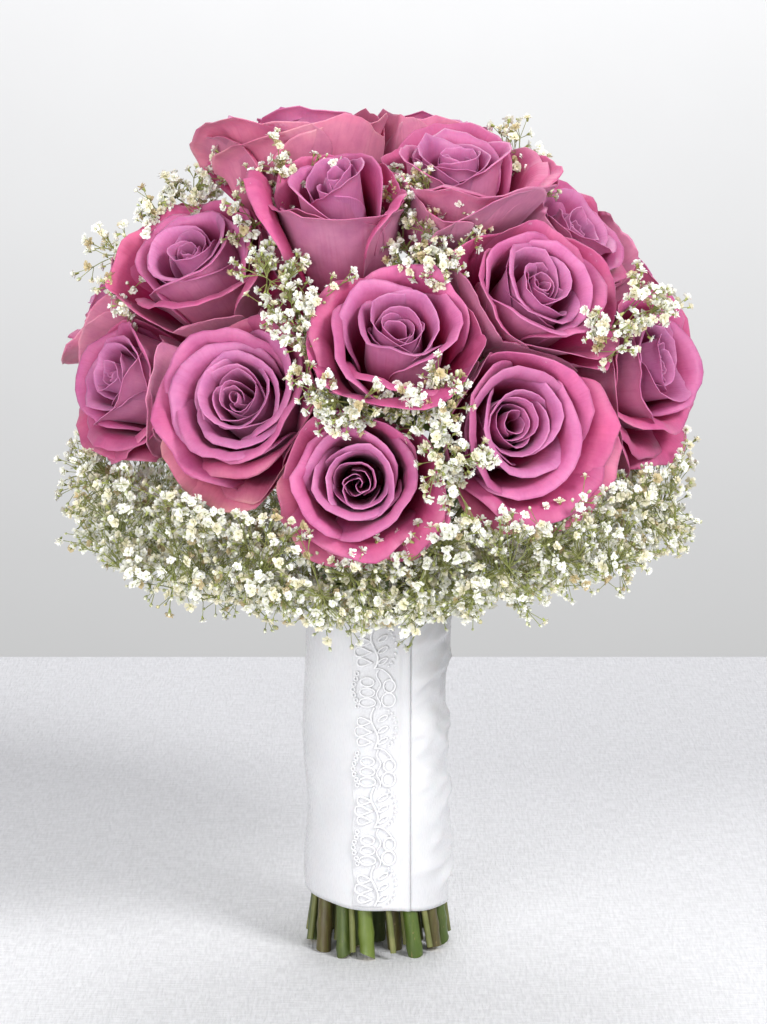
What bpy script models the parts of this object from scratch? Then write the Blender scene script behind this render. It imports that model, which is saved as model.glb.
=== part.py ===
"""A bridal bouquet: twenty roses over a collar of gypsophila, on a bound handle in a satin wrap with lace.

It stands on its cut stem ends. Z is up, the front faces -Y, and the origin is the centre of the cut ends.
Lengths are in millimetres until a shape becomes an object, which is in metres. Angles are in degrees.
An azimuth runs from the front (-Y) towards +X.
"""

import math

import bmesh
import bpy
import numpy as np
from mathutils import Matrix, Vector
from mathutils.bvhtree import BVHTree

MM = 0.001
GAP = 0.3  # between pieces that touch
SORT_WAY = Vector((0.617, 0.283, 0.734))  # points are put in order along this slanted line
SHARP_EDGE = 50  # an edge that turns more than this stays crisp

# The handle: heights along it, and the rings of stems there
KNEE_Z = 24  # where the stems enter the wrap
NECK_Z = 150  # where they are bound
TWIST = -25  # turn of the stems from their cut ends to the binding
OUTER_RING = (29, 26.6, 24.1)  # ring radius at the cut ends, at the knee and at the neck
INNER_RING = (15, 14, 6.75)
CENTRE = (0, 0, 0)
STEM_RADII = (3.25, 3.25, 3.25, 3.2, 3.1, 3.0, 4.4)  # at a stem's places from its cut end to its flower
STEM_ROOM = 6.9  # between the middles of two rose stems
STEM_BENDS = (0.3, 0.68)  # where a stem's two upper places lie on its curve from the neck to the flower
STEM_PULL = 25  # a stem that is moved aside carries along what lies this near
SPREAD_ROUNDS = 400
THROAT = 9  # a stem is in line with its flower from this far below it
SEPALS = 5
CALYX_RADII = (3.6, 8)
CALYX_HEIGHT = 2.6
CALYX_DROP = 2.4  # from the flower's base to the middle of its calyx
OUTER_SLOTS = (-86, -57, -31, -9, 35, 60, 80, 110, 140, 170, 200, 231, 251)
INNER_SLOTS = (-150, -90, -30, 30, 90, 150)

# The sprays' stems run outside the outer ring, or between the two rings
SPRAY_RADIUS = 1.4
SPRAY_TIP_RADIUS = 1.0
SPRAY_CUT_Z = 4
COLLAR_RING = (31.6, 28.8, 25.7)
FILL_RING = (22, 20, 18.9)
FILL_SLOTS = (-86, -57, -9, 35, 60, 110, 140, 200, 251)

# The wrap, its lace band and the binding under it
WRAP_RADIUS = 32
WRAP_WALL = 1.2
WRAP_BOTTOM_Z = 23
WRAP_TOP_Z = 158
WRAP_SLANT = 2.5  # its lower edge is this much higher on the left
BINDING_RADIUS = 29
BINDING_WALL = 1.0
BINDING_HEIGHT = 12
WRAP_SIDES = 28
BINDING_SIDES = 20
LACE_WIDTH = 21
LACE_AZIMUTH = -2
LACE_ROWS = 12
LACE_SCALLOP = 0.12  # how far its edge swings, as a share of half its width
LACE_THICKNESS = 0.8
LACE_BOW = 0.3  # its flat facets keep this much further from the round wrap
LACE_MARGIN = (2, 6)  # bare wrap below it and above it

# A flower's petals as rings from its foot to its middle. Each ring has its share of the radius when shut and
# when open, its share of the height when shut and when open, the petals in that turn, and how far its rim
# falls from the middle of each petal to the edges.
BLOOM_RINGS = (
    (0.28, 0.30, 0.05, 0.05, 5, 0.00),
    (0.62, 0.66, 0.30, 0.26, 5, 0.00),
    (0.86, 0.98, 0.66, 0.52, 5, 0.00),
    (0.94, 1.26, 0.96, 0.70, 5, 0.10),
    (0.82, 1.06, 1.00, 0.90, 5, 0.08),
    (0.64, 0.72, 0.66, 0.60, 5, 0.00),
    (0.60, 0.66, 1.00, 0.97, 3, 0.12),
    (0.42, 0.46, 0.68, 0.62, 3, 0.00),
    (0.36, 0.38, 1.00, 0.98, 3, 0.09),
    (0.24, 0.25, 0.74, 0.70, 3, 0.00),
    (0.15, 0.16, 0.97, 0.96, 3, 0.06),
)
BLOOM_COLUMNS = 15
BLOOM_MIDDLE = 0.80
BLOOM_WIND = 0.35  # columns that each ring is turned on from the one before it
PETAL_LAP = 0.10  # how much further out one edge of a petal lies than the other, as a share of its radius
PETAL_UNEVEN = 0.05
PETAL_ROUNDING = 0.8  # how far a petal's edges draw in, as a share of how far they fall
BALL_DEPTH = 0.42  # the ball that a rose about fills: its middle below the face, as a share of the height,
BALL_SHARE = 0.88  # and its radius, as a share of the rose's own
PRESS_SOFTNESS = 2.0
PRESS_ROOM = 0.2  # least distance of a petal from the plane between two roses

PINK = (0.58, 0.20, 0.40)
GREEN = (0.16, 0.26, 0.07)
CREAM = (0.86, 0.87, 0.74)
WHITE = (0.90, 0.90, 0.90)
TAPE = (0.30, 0.38, 0.22)


def rose(face, azimuth, tilt, radius, height, ring, opened):
    """A rose by the middle of its face, where it faces, its size, its ring in the handle and how open it is."""
    return dict(face=np.array(face, float), azimuth=azimuth, tilt=tilt, radius=radius, height=height,
                ring=ring, opened=opened)


ROSES = (
    rose((9, -96, 294), 3, 45, 31, 46, "outer", 0.6),
    rose((-8, -111, 230), -2, 9, 33, 46, "outer", 0.5),
    rose((63, -95, 248), 24, 10, 35, 46, "outer", 0.6),
    rose((-60, -84, 262), -20, 25, 35, 46, "outer", 0.85),
    rose((70, -65, 307), 32, 36, 33, 46, "inner", 0.65),
    rose((-78, -36, 316), -35, 48, 31, 48, "inner", 0.5),
    rose((-19, -54, 346), -14, 62, 26, 56, "inner", 0.1),
    rose((34, -32, 356), 12, 64, 31, 50, "centre", 0.35),
    rose((121, -25, 267), 62, 16, 32, 50, "outer", 0.45),
    rose((-116, -37, 264), -60, 18, 29, 50, "outer", 0.4),
    rose((88, -5, 325), 70, 42, 32, 48, "outer", 0.45),
    rose((-117, 19, 299), -95, 40, 32, 48, "outer", 0.45),
    rose((-34, 9, 361), -160, 72, 34, 50, "inner", 0.6),
    rose((22, 34, 365), 165, 66, 31, 48, "inner", 0.5),
    rose((117, 40, 292), 110, 30, 30, 48, "outer", 0.4),
    rose((88, 72, 240), 130, 12, 30, 46, "outer", 0.5),
    rose((14, 114, 240), 174, 12, 30, 46, "outer", 0.6),
    rose((-66, 90, 242), -142, 14, 30, 46, "outer", 0.5),
    rose((48, 76, 310), 150, 48, 30, 46, "outer", 0.4),
    rose((-40, 80, 306), -150, 47, 30, 46, "inner", 0.6),
)

# The sprays that fill the gaps between roses: the middle of each, its spread and its number of florets
FILLS = (
    ((-40, -76, 308), 24, 7),
    ((-46, -28, 345), 20, 6),
    ((22, -64, 334), 23, 8),
    ((60, 0, 350), 20, 5),
    ((104, -46, 290), 18, 4),
    ((30, -108, 256), 26, 7),
    ((-86, 14, 336), 20, 5),
    ((2, 86, 330), 22, 5),
    ((-24, 108, 272), 22, 5),
)
COLLAR_GAPS = (0, 2, 3, 4, 6, 8, 10, 12)  # the gaps after these outer slots hold the collar's sprays
COLLAR_EXIT = (27, 163)  # ring radius and height where they leave the wrap

# The collar's dense bed: a sloping skirt of tufts under the outer roses
BED_IN = 37
BED_Z = 160.5  # at its inner edge
BED_SLOPE = 0.42
BED_OUT_SIDE = 110
BED_OUT_FRONT = 94
BED_THICKNESS = 5
BED_TUFT = 5
BED_COLUMNS = 4
BED_ROWS = 2
BED_FLORETS = 6
BED_FLORET_RADIUS = 8
BED_EDGE = 0.8  # room from a floret's middle to the bed's side edges, as a share of its radius
UNDER_SHARE = 0.6  # of the bed's florets, those that hang below it
BED_JOINT_IN = 3  # the outer twigs start this far inside the bed's rim
COLLAR_TWIGS = 3
COLLAR_REACH = (16, 33)  # the outer florets' reach past the bed, at the front and at the sides
COLLAR_DROP = -12
COLLAR_RISE = (10, 30)  # their rise above the bed's slope, at the front and at the sides

FLORET_RADIUS = 5.6
FLORET_DEPTH = 0.8  # as a share of its radius
FLORET_HOLLOW = 0.4  # as a share of its depth
FLORET_SINK = 1.5  # a floret's root overlaps its twig by this much
FLORET_SPACING = 1.3  # as a share of its radius
BED_SPACING = 1.45
TWIG_RADIUS = 0.7
TWIG_JITTER = 0.15  # twigs from one joint start about this far apart
TWIG_LENGTHS = (7, 60)
FILL_SHAPE = (0.55, 0.55, 0.45)  # scatter of a fill's florets, as a share of its spread
FILL_LIMIT = 1.6
DRAWS = 80  # places tried for each floret
WAYS_TRIED = 240


def mix(a, b, t):
    return a + (b - a) * t


def direction(azimuth, tilt=0.0):
    a, e = math.radians(azimuth), math.radians(tilt)
    return np.array([math.sin(a) * math.cos(e), -math.cos(a) * math.cos(e), math.sin(e)])


def azimuth_of(point):
    return math.degrees(math.atan2(point[0], -point[1]))


def frame_of(flower):
    """A flower's own axes as rows, and its base, where its petals meet the stem."""
    axis = direction(flower["azimuth"], flower["tilt"])
    side = np.cross((0, 0, 1), axis)
    side /= np.linalg.norm(side)
    return np.array([side, np.cross(axis, side), axis]), flower["face"] - flower["height"] * axis


def ball_of(flower):
    """The middle and radius of the ball that a flower about fills."""
    axes, _ = frame_of(flower)
    return flower["face"] - BALL_DEPTH * flower["height"] * axes[2], BALL_SHARE * flower["radius"]


def planes_about(index):
    """The planes that part a rose from its neighbours, as the way out and its reach along it."""
    middle, radius = ball_of(ROSES[index])
    planes = []
    for other, flower in enumerate(ROSES):
        if other == index:
            continue
        there, reach = ball_of(flower)
        span = np.linalg.norm(there - middle)
        out = (there - middle) / span
        share = (span**2 + radius**2 - reach**2) / (2 * span)
        if share < 2 * radius:
            planes.append((out, middle @ out + share))
    return planes


def press(points, planes):
    """Presses a flower's points back from its neighbours, softly and then for certain."""
    for _ in range(3):
        for out, reach in planes:
            room = reach - points @ out
            kept = PRESS_ROOM + PRESS_SOFTNESS * np.logaddexp(0, (room - PRESS_ROOM) / PRESS_SOFTNESS)
            points = points - (kept - room)[:, None] * out
    for _ in range(4):
        for out, reach in planes:
            room = reach - points @ out
            points = points - np.maximum(PRESS_ROOM - room, 0)[:, None] * out
    return points


def material(name, colour, roughness):
    """A plain surface of one colour."""
    made = bpy.data.materials.new(name)
    made.use_nodes = True
    surface = made.node_tree.nodes["Principled BSDF"]
    surface.inputs["Base Color"].default_value = (*colour, 1)
    surface.inputs["Roughness"].default_value = roughness
    surface.inputs["Metallic"].default_value = 0
    made.diffuse_color = (*colour, 1)
    return made


def as_object(name, shape):
    """An object in metres from a shape in millimetres."""
    bmesh.ops.scale(shape, vec=(MM, MM, MM), verts=shape.verts)
    mesh = bpy.data.meshes.new(name)
    shape.to_mesh(mesh)
    shape.free()
    return bpy.data.objects.new(name, mesh)


def draped(surface, columns, rows):
    """A grid laid on a surface, which takes the share across, -1 to 1, and the share up, 0 to 1."""
    shape = bmesh.new()
    bmesh.ops.create_grid(shape, x_segments=columns, y_segments=rows, size=1)
    across = np.array([vertex.co.x for vertex in shape.verts])
    up = np.array([(vertex.co.y + 1) / 2 for vertex in shape.verts])
    for vertex, point in zip(shape.verts, surface(across, up)):
        vertex.co = point
    return shape


def blade(name, surface, columns, rows, thickness):
    """A thin closed blade about a surface, both faces split into triangles alike."""
    shape = draped(surface, columns, rows)
    bmesh.ops.triangulate(shape, faces=shape.faces)
    made = as_object(name, shape)
    skin = made.modifiers.new("thickness", "SOLIDIFY")
    skin.thickness = thickness * MM
    skin.offset = 0
    return made


def tube(name, points, radii, sides_step):
    """A closed tube along points, as a mesh, with 4 sides and 2 more for each sides_step."""
    curve = bpy.data.curves.new(name, "CURVE")
    curve.dimensions = "3D"
    curve.bevel_depth = MM
    curve.bevel_resolution = sides_step
    curve.use_fill_caps = True
    spline = curve.splines.new("POLY")
    spline.points.add(len(points) - 1)
    for place, point, radius in zip(spline.points, points, radii):
        place.co = (*(np.array(point) * MM), 1)
        place.radius = radius
    guide = bpy.data.objects.new(name + "_guide", curve)
    bpy.context.scene.collection.objects.link(guide)
    bpy.context.view_layer.update()
    evaluated = guide.evaluated_get(bpy.context.evaluated_depsgraph_get())
    mesh = bpy.data.meshes.new_from_object(evaluated)
    shape = bmesh.new()
    shape.from_mesh(mesh)
    bmesh.ops.remove_doubles(shape, verts=shape.verts, dist=1e-6)
    shape.to_mesh(mesh)
    shape.free()
    made = bpy.data.objects.new(name, mesh)
    made.matrix_world = guide.matrix_world
    bpy.data.objects.remove(guide)
    return made


def outer_skin(mesh):
    """Leaves only the largest closed surface, so that sealed hollows are filled and loose scraps go."""
    shape = bmesh.new()
    shape.from_mesh(mesh)
    bmesh.ops.triangulate(shape, faces=shape.faces)
    left = set(shape.faces)
    skins = []
    while left:
        front = [left.pop()]
        skin = list(front)
        while front:
            face = front.pop()
            near = {other for edge in face.edges for other in edge.link_faces} & left
            left -= near
            front += near
            skin += near
        skins.append(skin)
    largest = max(skins, key=lambda skin: sum(face.calc_area() for face in skin))
    scraps = [face for skin in skins if skin is not largest for face in skin]
    bmesh.ops.delete(shape, geom=scraps, context="FACES")
    loose = [vertex for vertex in shape.verts if not vertex.link_faces]
    bmesh.ops.delete(shape, geom=loose, context="VERTS")
    shape.verts.sort(key=lambda vertex: vertex.co.dot(SORT_WAY))
    shape.faces.sort(key=lambda face: face.calc_center_median().dot(SORT_WAY))
    shape.to_mesh(mesh)
    shape.free()


def outline_of(shapes):
    """The points, in millimetres, and the faces of some shapes, taken together."""
    points, faces = [], []
    for shape in shapes:
        first = len(points)
        points += [vertex.co / MM for vertex in shape.data.vertices]
        faces += [[first + index for index in face.vertices] for face in shape.data.polygons]
    return points, faces


def fuse(name, shapes, surface, parts):
    """Makes one closed body, named and coloured, of closed shapes that overlap, and gives its outline.

    The outline is of the shapes before they are joined, whose points always come in the same order.
    """
    body, others = shapes[0], shapes[1:]
    pool = bpy.data.collections.new(name + "_shapes")
    bpy.context.scene.collection.children.link(pool)
    bpy.context.scene.collection.objects.link(body)
    if others:
        for other in others:
            pool.objects.link(other)
        join = body.modifiers.new("join", "BOOLEAN")
        join.operation = "UNION"
        join.operand_type = "COLLECTION"
        join.collection = pool
        join.solver = "MANIFOLD"
    bpy.context.view_layer.update()
    evaluated = body.evaluated_get(bpy.context.evaluated_depsgraph_get())
    mesh = bpy.data.meshes.new_from_object(evaluated)
    joined_of = outline_of(shapes)
    for shape in shapes:
        bpy.data.objects.remove(shape)
    bpy.data.collections.remove(pool)
    outer_skin(mesh)
    mesh.shade_smooth()
    mesh.set_sharp_from_angle(angle=math.radians(SHARP_EDGE))
    mesh.materials.clear()
    mesh.materials.append(surface)
    made = bpy.data.objects.new(name, mesh)
    parts.objects.link(made)
    return joined_of if others else outline_of([made])


def tree_of(outlines):
    """One search tree of the faces of some outlines."""
    points, faces = [], []
    for its_points, its_faces in outlines:
        first = len(points)
        points += its_points
        faces += [[first + index for index in face] for face in its_faces]
    return BVHTree.FromPolygons(points, faces)


def clearance(point, tree):
    """Distance from a point to the solids, less than nothing inside one."""
    near, normal, _, gap = tree.find_nearest(Vector(point))
    return gap if (Vector(point) - near).dot(normal) > 0 else -gap


def bloom(index, surface, parts):
    """A rose as one body: its petals rise in rings that wind in to the middle, pressed against its neighbours."""
    flower = ROSES[index]
    axes, base = frame_of(flower)
    planes = planes_about(index)
    rng = np.random.default_rng(index)
    phases = rng.uniform(-3, 3, len(BLOOM_RINGS))
    shifts = rng.integers(0, BLOOM_COLUMNS, len(BLOOM_RINGS))
    shape = bmesh.new()

    def corners(local):
        return [shape.verts.new(point) for point in press(base + np.array(local) @ axes, planes)]

    rings = []
    for turn, (out_shut, out_open, rise_shut, rise_open, petals, fall) in enumerate(BLOOM_RINGS):
        layer = 0 if petals == 5 else turn // 2
        local = []
        for column in range(BLOOM_COLUMNS):
            wide = BLOOM_COLUMNS // petals
            number, along = divmod((column + shifts[layer]) % BLOOM_COLUMNS, wide)
            across = (along + 0.5) / wide * 2 - 1
            tilt = PETAL_UNEVEN * math.sin(2.4 * number + phases[layer]) * (fall > 0)
            out = mix(out_shut, out_open, flower["opened"]) * (1 + PETAL_LAP * across / 2)
            out -= PETAL_ROUNDING * fall * across**2
            rise = mix(rise_shut, rise_open, flower["opened"]) - fall * across**2 + tilt
            angle = 2 * math.pi * (column + BLOOM_WIND * turn) / BLOOM_COLUMNS
            place = (out * math.cos(angle), out * math.sin(angle))
            local.append((*(np.array(place) * flower["radius"]), rise * flower["height"]))
        rings.append(corners(local))
    foot = shape.verts.new(base)
    middle, = corners([(0, 0, BLOOM_MIDDLE * flower["height"])])
    for column in range(BLOOM_COLUMNS):
        after = (column + 1) % BLOOM_COLUMNS
        shape.faces.new((foot, rings[0][after], rings[0][column]))
        shape.faces.new((middle, rings[-1][column], rings[-1][after]))
        for low, high in zip(rings, rings[1:]):
            shape.faces.new((low[column], low[after], high[after], high[column]))
    bmesh.ops.triangulate(shape, faces=shape.faces)
    return fuse(f"rose_bloom_{index + 1:02d}", [as_object("bloom", shape)], surface, parts)


def handle_run(azimuth, ring, cut_z=0.0):
    """The lower places of a stem: its cut end, the knee and the neck."""
    heights = (cut_z, KNEE_Z, NECK_Z)
    return [radius * direction(azimuth + TWIST * z / NECK_Z) + (0, 0, z) for radius, z in zip(ring, heights)]


def shared_out(azimuths, slots):
    """A slot for each azimuth, the two kept in the same order around the handle with the least strain."""
    order = sorted(range(len(azimuths)), key=lambda i: azimuths[i])
    free = sorted((slot + TWIST + 180) % 360 - 180 for slot in slots)

    def strain(shift):
        turned = free[shift:] + free[:shift]
        return sum(((azimuths[i] - slot + 180) % 360 - 180) ** 2 for i, slot in zip(order, turned))

    best = min(range(len(free)), key=strain)
    return {i: slot - TWIST for i, slot in zip(order, free[best:] + free[:best])}


def stem_slots():
    """Each rose's slot azimuth and ring radii in the handle."""
    found = {}
    for ring, slots, radii in (("outer", OUTER_SLOTS, OUTER_RING), ("inner", INNER_SLOTS, INNER_RING)):
        members = [i for i, flower in enumerate(ROSES) if flower["ring"] == ring]
        placed = shared_out([azimuth_of(ROSES[i]["face"]) for i in members], slots)
        found.update({members[i]: (azimuth, radii) for i, azimuth in placed.items()})
    found.update({i: (0, CENTRE) for i, flower in enumerate(ROSES) if flower["ring"] == "centre"})
    return found


def stem_way(flower, slot):
    """A rose stem's places from the cut end to the receptacle under the petals."""
    azimuth, radii = slot
    low = handle_run(azimuth, radii)
    axes, base = frame_of(flower)
    throat = base - THROAT * axes[2]
    start = low[2] - low[1]
    start /= np.linalg.norm(start)
    pull = np.linalg.norm(throat - low[2])
    middle = []
    for u in STEM_BENDS:
        here, there = 2 * u**3 - 3 * u**2 + 1, 3 * u**2 - 2 * u**3
        leave, meet = pull * (u**3 - 2 * u**2 + u), pull * (u**3 - u**2)
        middle.append(here * low[2] + leave * start + there * throat + meet * axes[2])
    return np.array([*low, *middle, throat, base - GAP * axes[2]])


def spread(ways):
    """Moves the stems apart above the binding, where they would cross."""
    free = slice(3, 5)
    shares = np.linspace(0, 1, 10)[:, None, None]
    for _ in range(SPREAD_ROUNDS):
        clear = True
        for first in range(len(ways)):
            for second in range(first):
                a, b = ways[first], ways[second]
                fine_a = (a[2:-2] + shares * (a[3:-1] - a[2:-2])).reshape(-1, 3)
                fine_b = (b[2:-2] + shares * (b[3:-1] - b[2:-2])).reshape(-1, 3)
                apart = fine_a[:, None] - fine_b[None]
                span = np.linalg.norm(apart, axis=-1)
                i, k = np.unravel_index(span.argmin(), span.shape)
                if span[i, k] > STEM_ROOM:
                    continue
                clear = False
                push = apart[i, k] / max(span[i, k], 1e-6) * (STEM_ROOM - span[i, k] + 0.2) / 2
                for way, point, sign in ((a, fine_a[i], 1), (b, fine_b[k], -1)):
                    near = np.exp(-((np.linalg.norm(way[free] - point, axis=1) / STEM_PULL) ** 2))
                    way[free] += sign * push * near[:, None]
        if clear:
            break
    return ways


def stem(index, points, surface, parts):
    """A rose stem with its receptacle and the five sepals folded back under the petals."""
    flower = ROSES[index]
    axes, base = frame_of(flower)
    name = f"rose_stem_{index + 1:02d}"
    stalk = tube(name, points, STEM_RADII, sides_step=1)
    for vertex in stalk.data.vertices:
        if vertex.co.z < 2 * MM:
            vertex.co.z = 0
    calyx = bmesh.new()
    bmesh.ops.create_cone(calyx, cap_ends=True, segments=SEPALS, radius1=CALYX_RADII[0],
                          radius2=CALYX_RADII[1], depth=CALYX_HEIGHT)
    to_world = Matrix([*zip(*axes)]).to_4x4()
    to_world.translation = Vector(base - CALYX_DROP * axes[2])
    bmesh.ops.transform(calyx, matrix=to_world, verts=calyx.verts)
    bmesh.ops.triangulate(calyx, faces=calyx.faces)
    return fuse(name, [stalk, as_object(name + "_calyx", calyx)], surface, parts)


def twig(name, start, end):
    """A three-sided twig."""
    shape = bmesh.new()
    span = Vector(end) - Vector(start)
    bmesh.ops.create_cone(shape, cap_ends=True, segments=3, radius1=TWIG_RADIUS, radius2=TWIG_RADIUS,
                          depth=span.length)
    turn = span.to_track_quat("Z", "Y").to_matrix().to_4x4()
    turn.translation = (Vector(start) + Vector(end)) / 2
    bmesh.ops.transform(shape, matrix=turn, verts=shape.verts)
    return as_object(name, shape)


def floret(name, root, out, radius):
    """A floret as a five-pointed cup that opens from its root."""
    shape = bmesh.new()
    depth = FLORET_DEPTH * radius
    bmesh.ops.create_cone(shape, cap_ends=True, segments=5, radius1=0, radius2=radius, depth=depth)
    bmesh.ops.remove_doubles(shape, verts=shape.verts, dist=1e-4)
    mouth = max(shape.faces, key=lambda face: face.calc_center_median().z)
    bmesh.ops.poke(shape, faces=[mouth], offset=-FLORET_HOLLOW * depth)
    bmesh.ops.triangulate(shape, faces=shape.faces)
    out = Vector(out).normalized()
    turn = out.to_track_quat("Z", "Y").to_matrix().to_4x4()
    turn.translation = Vector(root) + 0.5 * depth * out
    bmesh.ops.transform(shape, matrix=turn, verts=shape.verts)
    return as_object(name, shape)


def samples(way, step=2.0):
    """Points at every few millimetres of a way."""
    found = []
    for start, end in zip(way[:-1], way[1:]):
        count = max(2, int(np.linalg.norm(end - start) / step))
        found += [mix(start, end, k / count) for k in range(1, count + 1)]
    return found


def threaded(start, end, tree, room, rng, steps):
    """Places along a way from start to near end, bent clear of the flowers and stems."""
    shares = np.linspace(0, 1, steps + 1)[:, None]
    best, widest = None, -math.inf
    for attempt in range(WAYS_TRIED):
        bow = rng.normal(size=3) * min(attempt, 60) * 0.6
        way = mix(start, end, shares) + np.sin(math.pi * shares) * bow
        way[-1] += rng.normal(size=3) * min(attempt, 10) * 0.5
        for _ in range(50):
            way[1:-1] += 0.3 * ((way[:-2] + way[2:]) / 2 - way[1:-1])
            for point in way[1:]:
                near, normal, _, _ = tree.find_nearest(Vector(point))
                gap = clearance(point, tree)
                if gap < room + GAP:
                    point += np.array(normal) * (room + GAP - gap)
        least = min(clearance(point, tree) for point in samples(way))
        if least > widest:
            best, widest = way.copy(), least
        if least > room:
            break
    return best


def in_flower(place):
    return any(np.linalg.norm(place - ball_of(f)[0]) < 0.7 * ball_of(f)[1] for f in ROSES)


def twigs(name, joints, draw_place, count, rng, tree, placed):
    """Twigs with a floret each, from the nearest of some joints, clear of all that stands already."""
    shapes = []
    wanted = len(placed) + count
    for _ in range(count * DRAWS):
        if len(placed) == wanted:
            break
        place = draw_place()
        joint = min(joints, key=lambda j: np.linalg.norm(place - j))
        span = np.linalg.norm(place - joint)
        if not TWIG_LENGTHS[0] < span < TWIG_LENGTHS[1] or in_flower(place):
            continue
        if clearance(place, tree) < FLORET_RADIUS + GAP:
            continue
        if any(np.linalg.norm(place - other) < FLORET_SPACING * FLORET_RADIUS for other in placed):
            continue
        if min(clearance(point, tree) for point in samples([joint, place])) < TWIG_RADIUS + GAP:
            continue
        placed.append(place)
        out = (place - joint) / span
        shapes.append(twig(name + "_twig", joint + TWIG_JITTER * rng.normal(size=3), place))
        shapes.append(floret(name + "_floret", place - FLORET_SINK * out, out, FLORET_RADIUS))
    return shapes


def tufted(name, surface):
    """A thick closed blade whose two faces rise in points, one to each square of its grid."""
    shape = draped(surface, BED_COLUMNS, BED_ROWS)
    upper = list(shape.faces)
    lower = bmesh.ops.duplicate(shape, geom=shape.verts[:] + shape.edges[:] + shape.faces[:])
    lower_faces = [item for item in lower["geom"] if isinstance(item, bmesh.types.BMFace)]
    lower_verts = [item for item in lower["geom"] if isinstance(item, bmesh.types.BMVert)]
    bmesh.ops.translate(shape, vec=(0, 0, -BED_THICKNESS), verts=lower_verts)
    bmesh.ops.reverse_faces(shape, faces=lower_faces)
    bmesh.ops.bridge_loops(shape, edges=[edge for edge in shape.edges if edge.is_boundary])
    bmesh.ops.recalc_face_normals(shape, faces=shape.faces)
    bmesh.ops.poke(shape, faces=upper + lower_faces, offset=BED_TUFT)
    bmesh.ops.triangulate(shape, faces=shape.faces)
    return as_object(name, shape)


def bed_point(azimuth, reach):
    """A place on the sloping middle of the collar under the outer roses."""
    return reach * direction(azimuth) + (0, 0, BED_Z + BED_SLOPE * (reach - BED_IN))


def bed_edge(azimuth):
    """How far the collar's dense part reaches: less at the front and back than at the sides."""
    return mix(BED_OUT_FRONT, BED_OUT_SIDE, abs(math.sin(math.radians(azimuth))))


def collar_spray(number, heading, left, right, tree, surface, parts):
    """A spray under the outer roses: a dense bed between two azimuths, with florets on it and on twigs around."""
    name = f"gypsophila_{number:02d}"
    rng = np.random.default_rng([7, number])
    low = handle_run(heading - TWIST, COLLAR_RING, SPRAY_CUT_Z)
    leave = COLLAR_EXIT[0] * direction(heading) + (0, 0, COLLAR_EXIT[1])
    way = [*low, *threaded(leave, bed_point(heading, BED_IN + 8), tree, SPRAY_RADIUS + GAP, rng, steps=2)]
    way.append(bed_point(heading, BED_IN + 36))
    shapes = [tube(name, way, [SPRAY_RADIUS] * len(way), sides_step=0)]

    def azimuth_at(across, reach):
        margin = math.degrees(1 / reach)
        return mix(left + margin, right - margin, (across + 1) / 2)

    def bed(across, up):
        points = []
        for u, v in zip(across, up):
            reach = mix(BED_IN, bed_edge(azimuth_at(u, BED_IN)), v)
            points.append(bed_point(azimuth_at(u, reach), reach))
        return np.array(points)

    shapes.append(tufted(name + "_bed", bed))
    slope = math.atan(BED_SLOPE)
    placed = []
    for _ in range(BED_FLORETS * DRAWS):
        if len(placed) == BED_FLORETS:
            break
        share = rng.uniform() ** 0.6
        across = rng.uniform(-0.88, 0.88)
        reach = mix(BED_IN + 4, bed_edge(heading) - 2, share)
        azimuth = azimuth_at(across, reach)
        under = math.sin(slope) * direction(azimuth) - math.cos(slope) * np.array((0, 0, 1))
        if min(azimuth - left, right - azimuth) * math.pi / 180 * reach < BED_EDGE * BED_FLORET_RADIUS:
            continue
        side = 1 if rng.uniform() < UNDER_SHARE else -1
        out = side * under + 0.25 * rng.normal(size=3) + (1.6 * share**3) * direction(azimuth)
        out /= np.linalg.norm(out)
        root = bed_point(azimuth, reach) - (0, 0, BED_THICKNESS / 2) + side * 2.0 * under
        head = root + FLORET_DEPTH * BED_FLORET_RADIUS * out
        if any(np.linalg.norm(head - other) < BED_SPACING * BED_FLORET_RADIUS for other in placed):
            continue
        if clearance(head, tree) < BED_FLORET_RADIUS + GAP or in_flower(head):
            continue
        placed.append(head)
        shapes.append(floret(name + "_floret", root, out, BED_FLORET_RADIUS))

    joints = [bed_point(azimuth_at(u, 90), bed_edge(heading) - BED_JOINT_IN) for u in (-0.6, 0, 0.6)]

    def place():
        side = abs(math.sin(math.radians(heading)))
        reach = bed_edge(heading) + mix(*COLLAR_REACH, side) * rng.uniform(0.2, 1) ** 0.5
        azimuth = azimuth_at(rng.uniform(-0.95, 0.95), reach)
        return bed_point(azimuth, reach) + (0, 0, rng.uniform(COLLAR_DROP, mix(*COLLAR_RISE, side)))

    shapes += twigs(name, joints, place, COLLAR_TWIGS, rng, tree, placed)
    return fuse(name, shapes, surface, parts)


def fill_spray(number, fill, slot, tree, surface, parts):
    """A spray that comes up between the roses and fills a gap of the dome."""
    name = f"gypsophila_{number:02d}"
    rng = np.random.default_rng([8, number])
    middle, spread, count = np.array(fill[0], float), fill[1], fill[2]
    low = handle_run(slot, FILL_RING, SPRAY_CUT_Z)
    inward = middle - (0, 0, 200)
    tip = middle - 12 * inward / np.linalg.norm(inward)
    way = [*low[:2], *threaded(low[2], tip, tree, SPRAY_TIP_RADIUS + 2 * GAP, rng, steps=10)]
    radii = [SPRAY_RADIUS] * 3 + [SPRAY_TIP_RADIUS] * (len(way) - 3)
    shapes = [tube(name, way, radii, sides_step=0)]

    def place():
        return middle + np.clip(rng.normal(size=3), -FILL_LIMIT, FILL_LIMIT) * spread * FILL_SHAPE

    shapes += twigs(name, way[-3:], place, count, rng, tree, [])
    return fuse(name, shapes, surface, parts)


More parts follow.
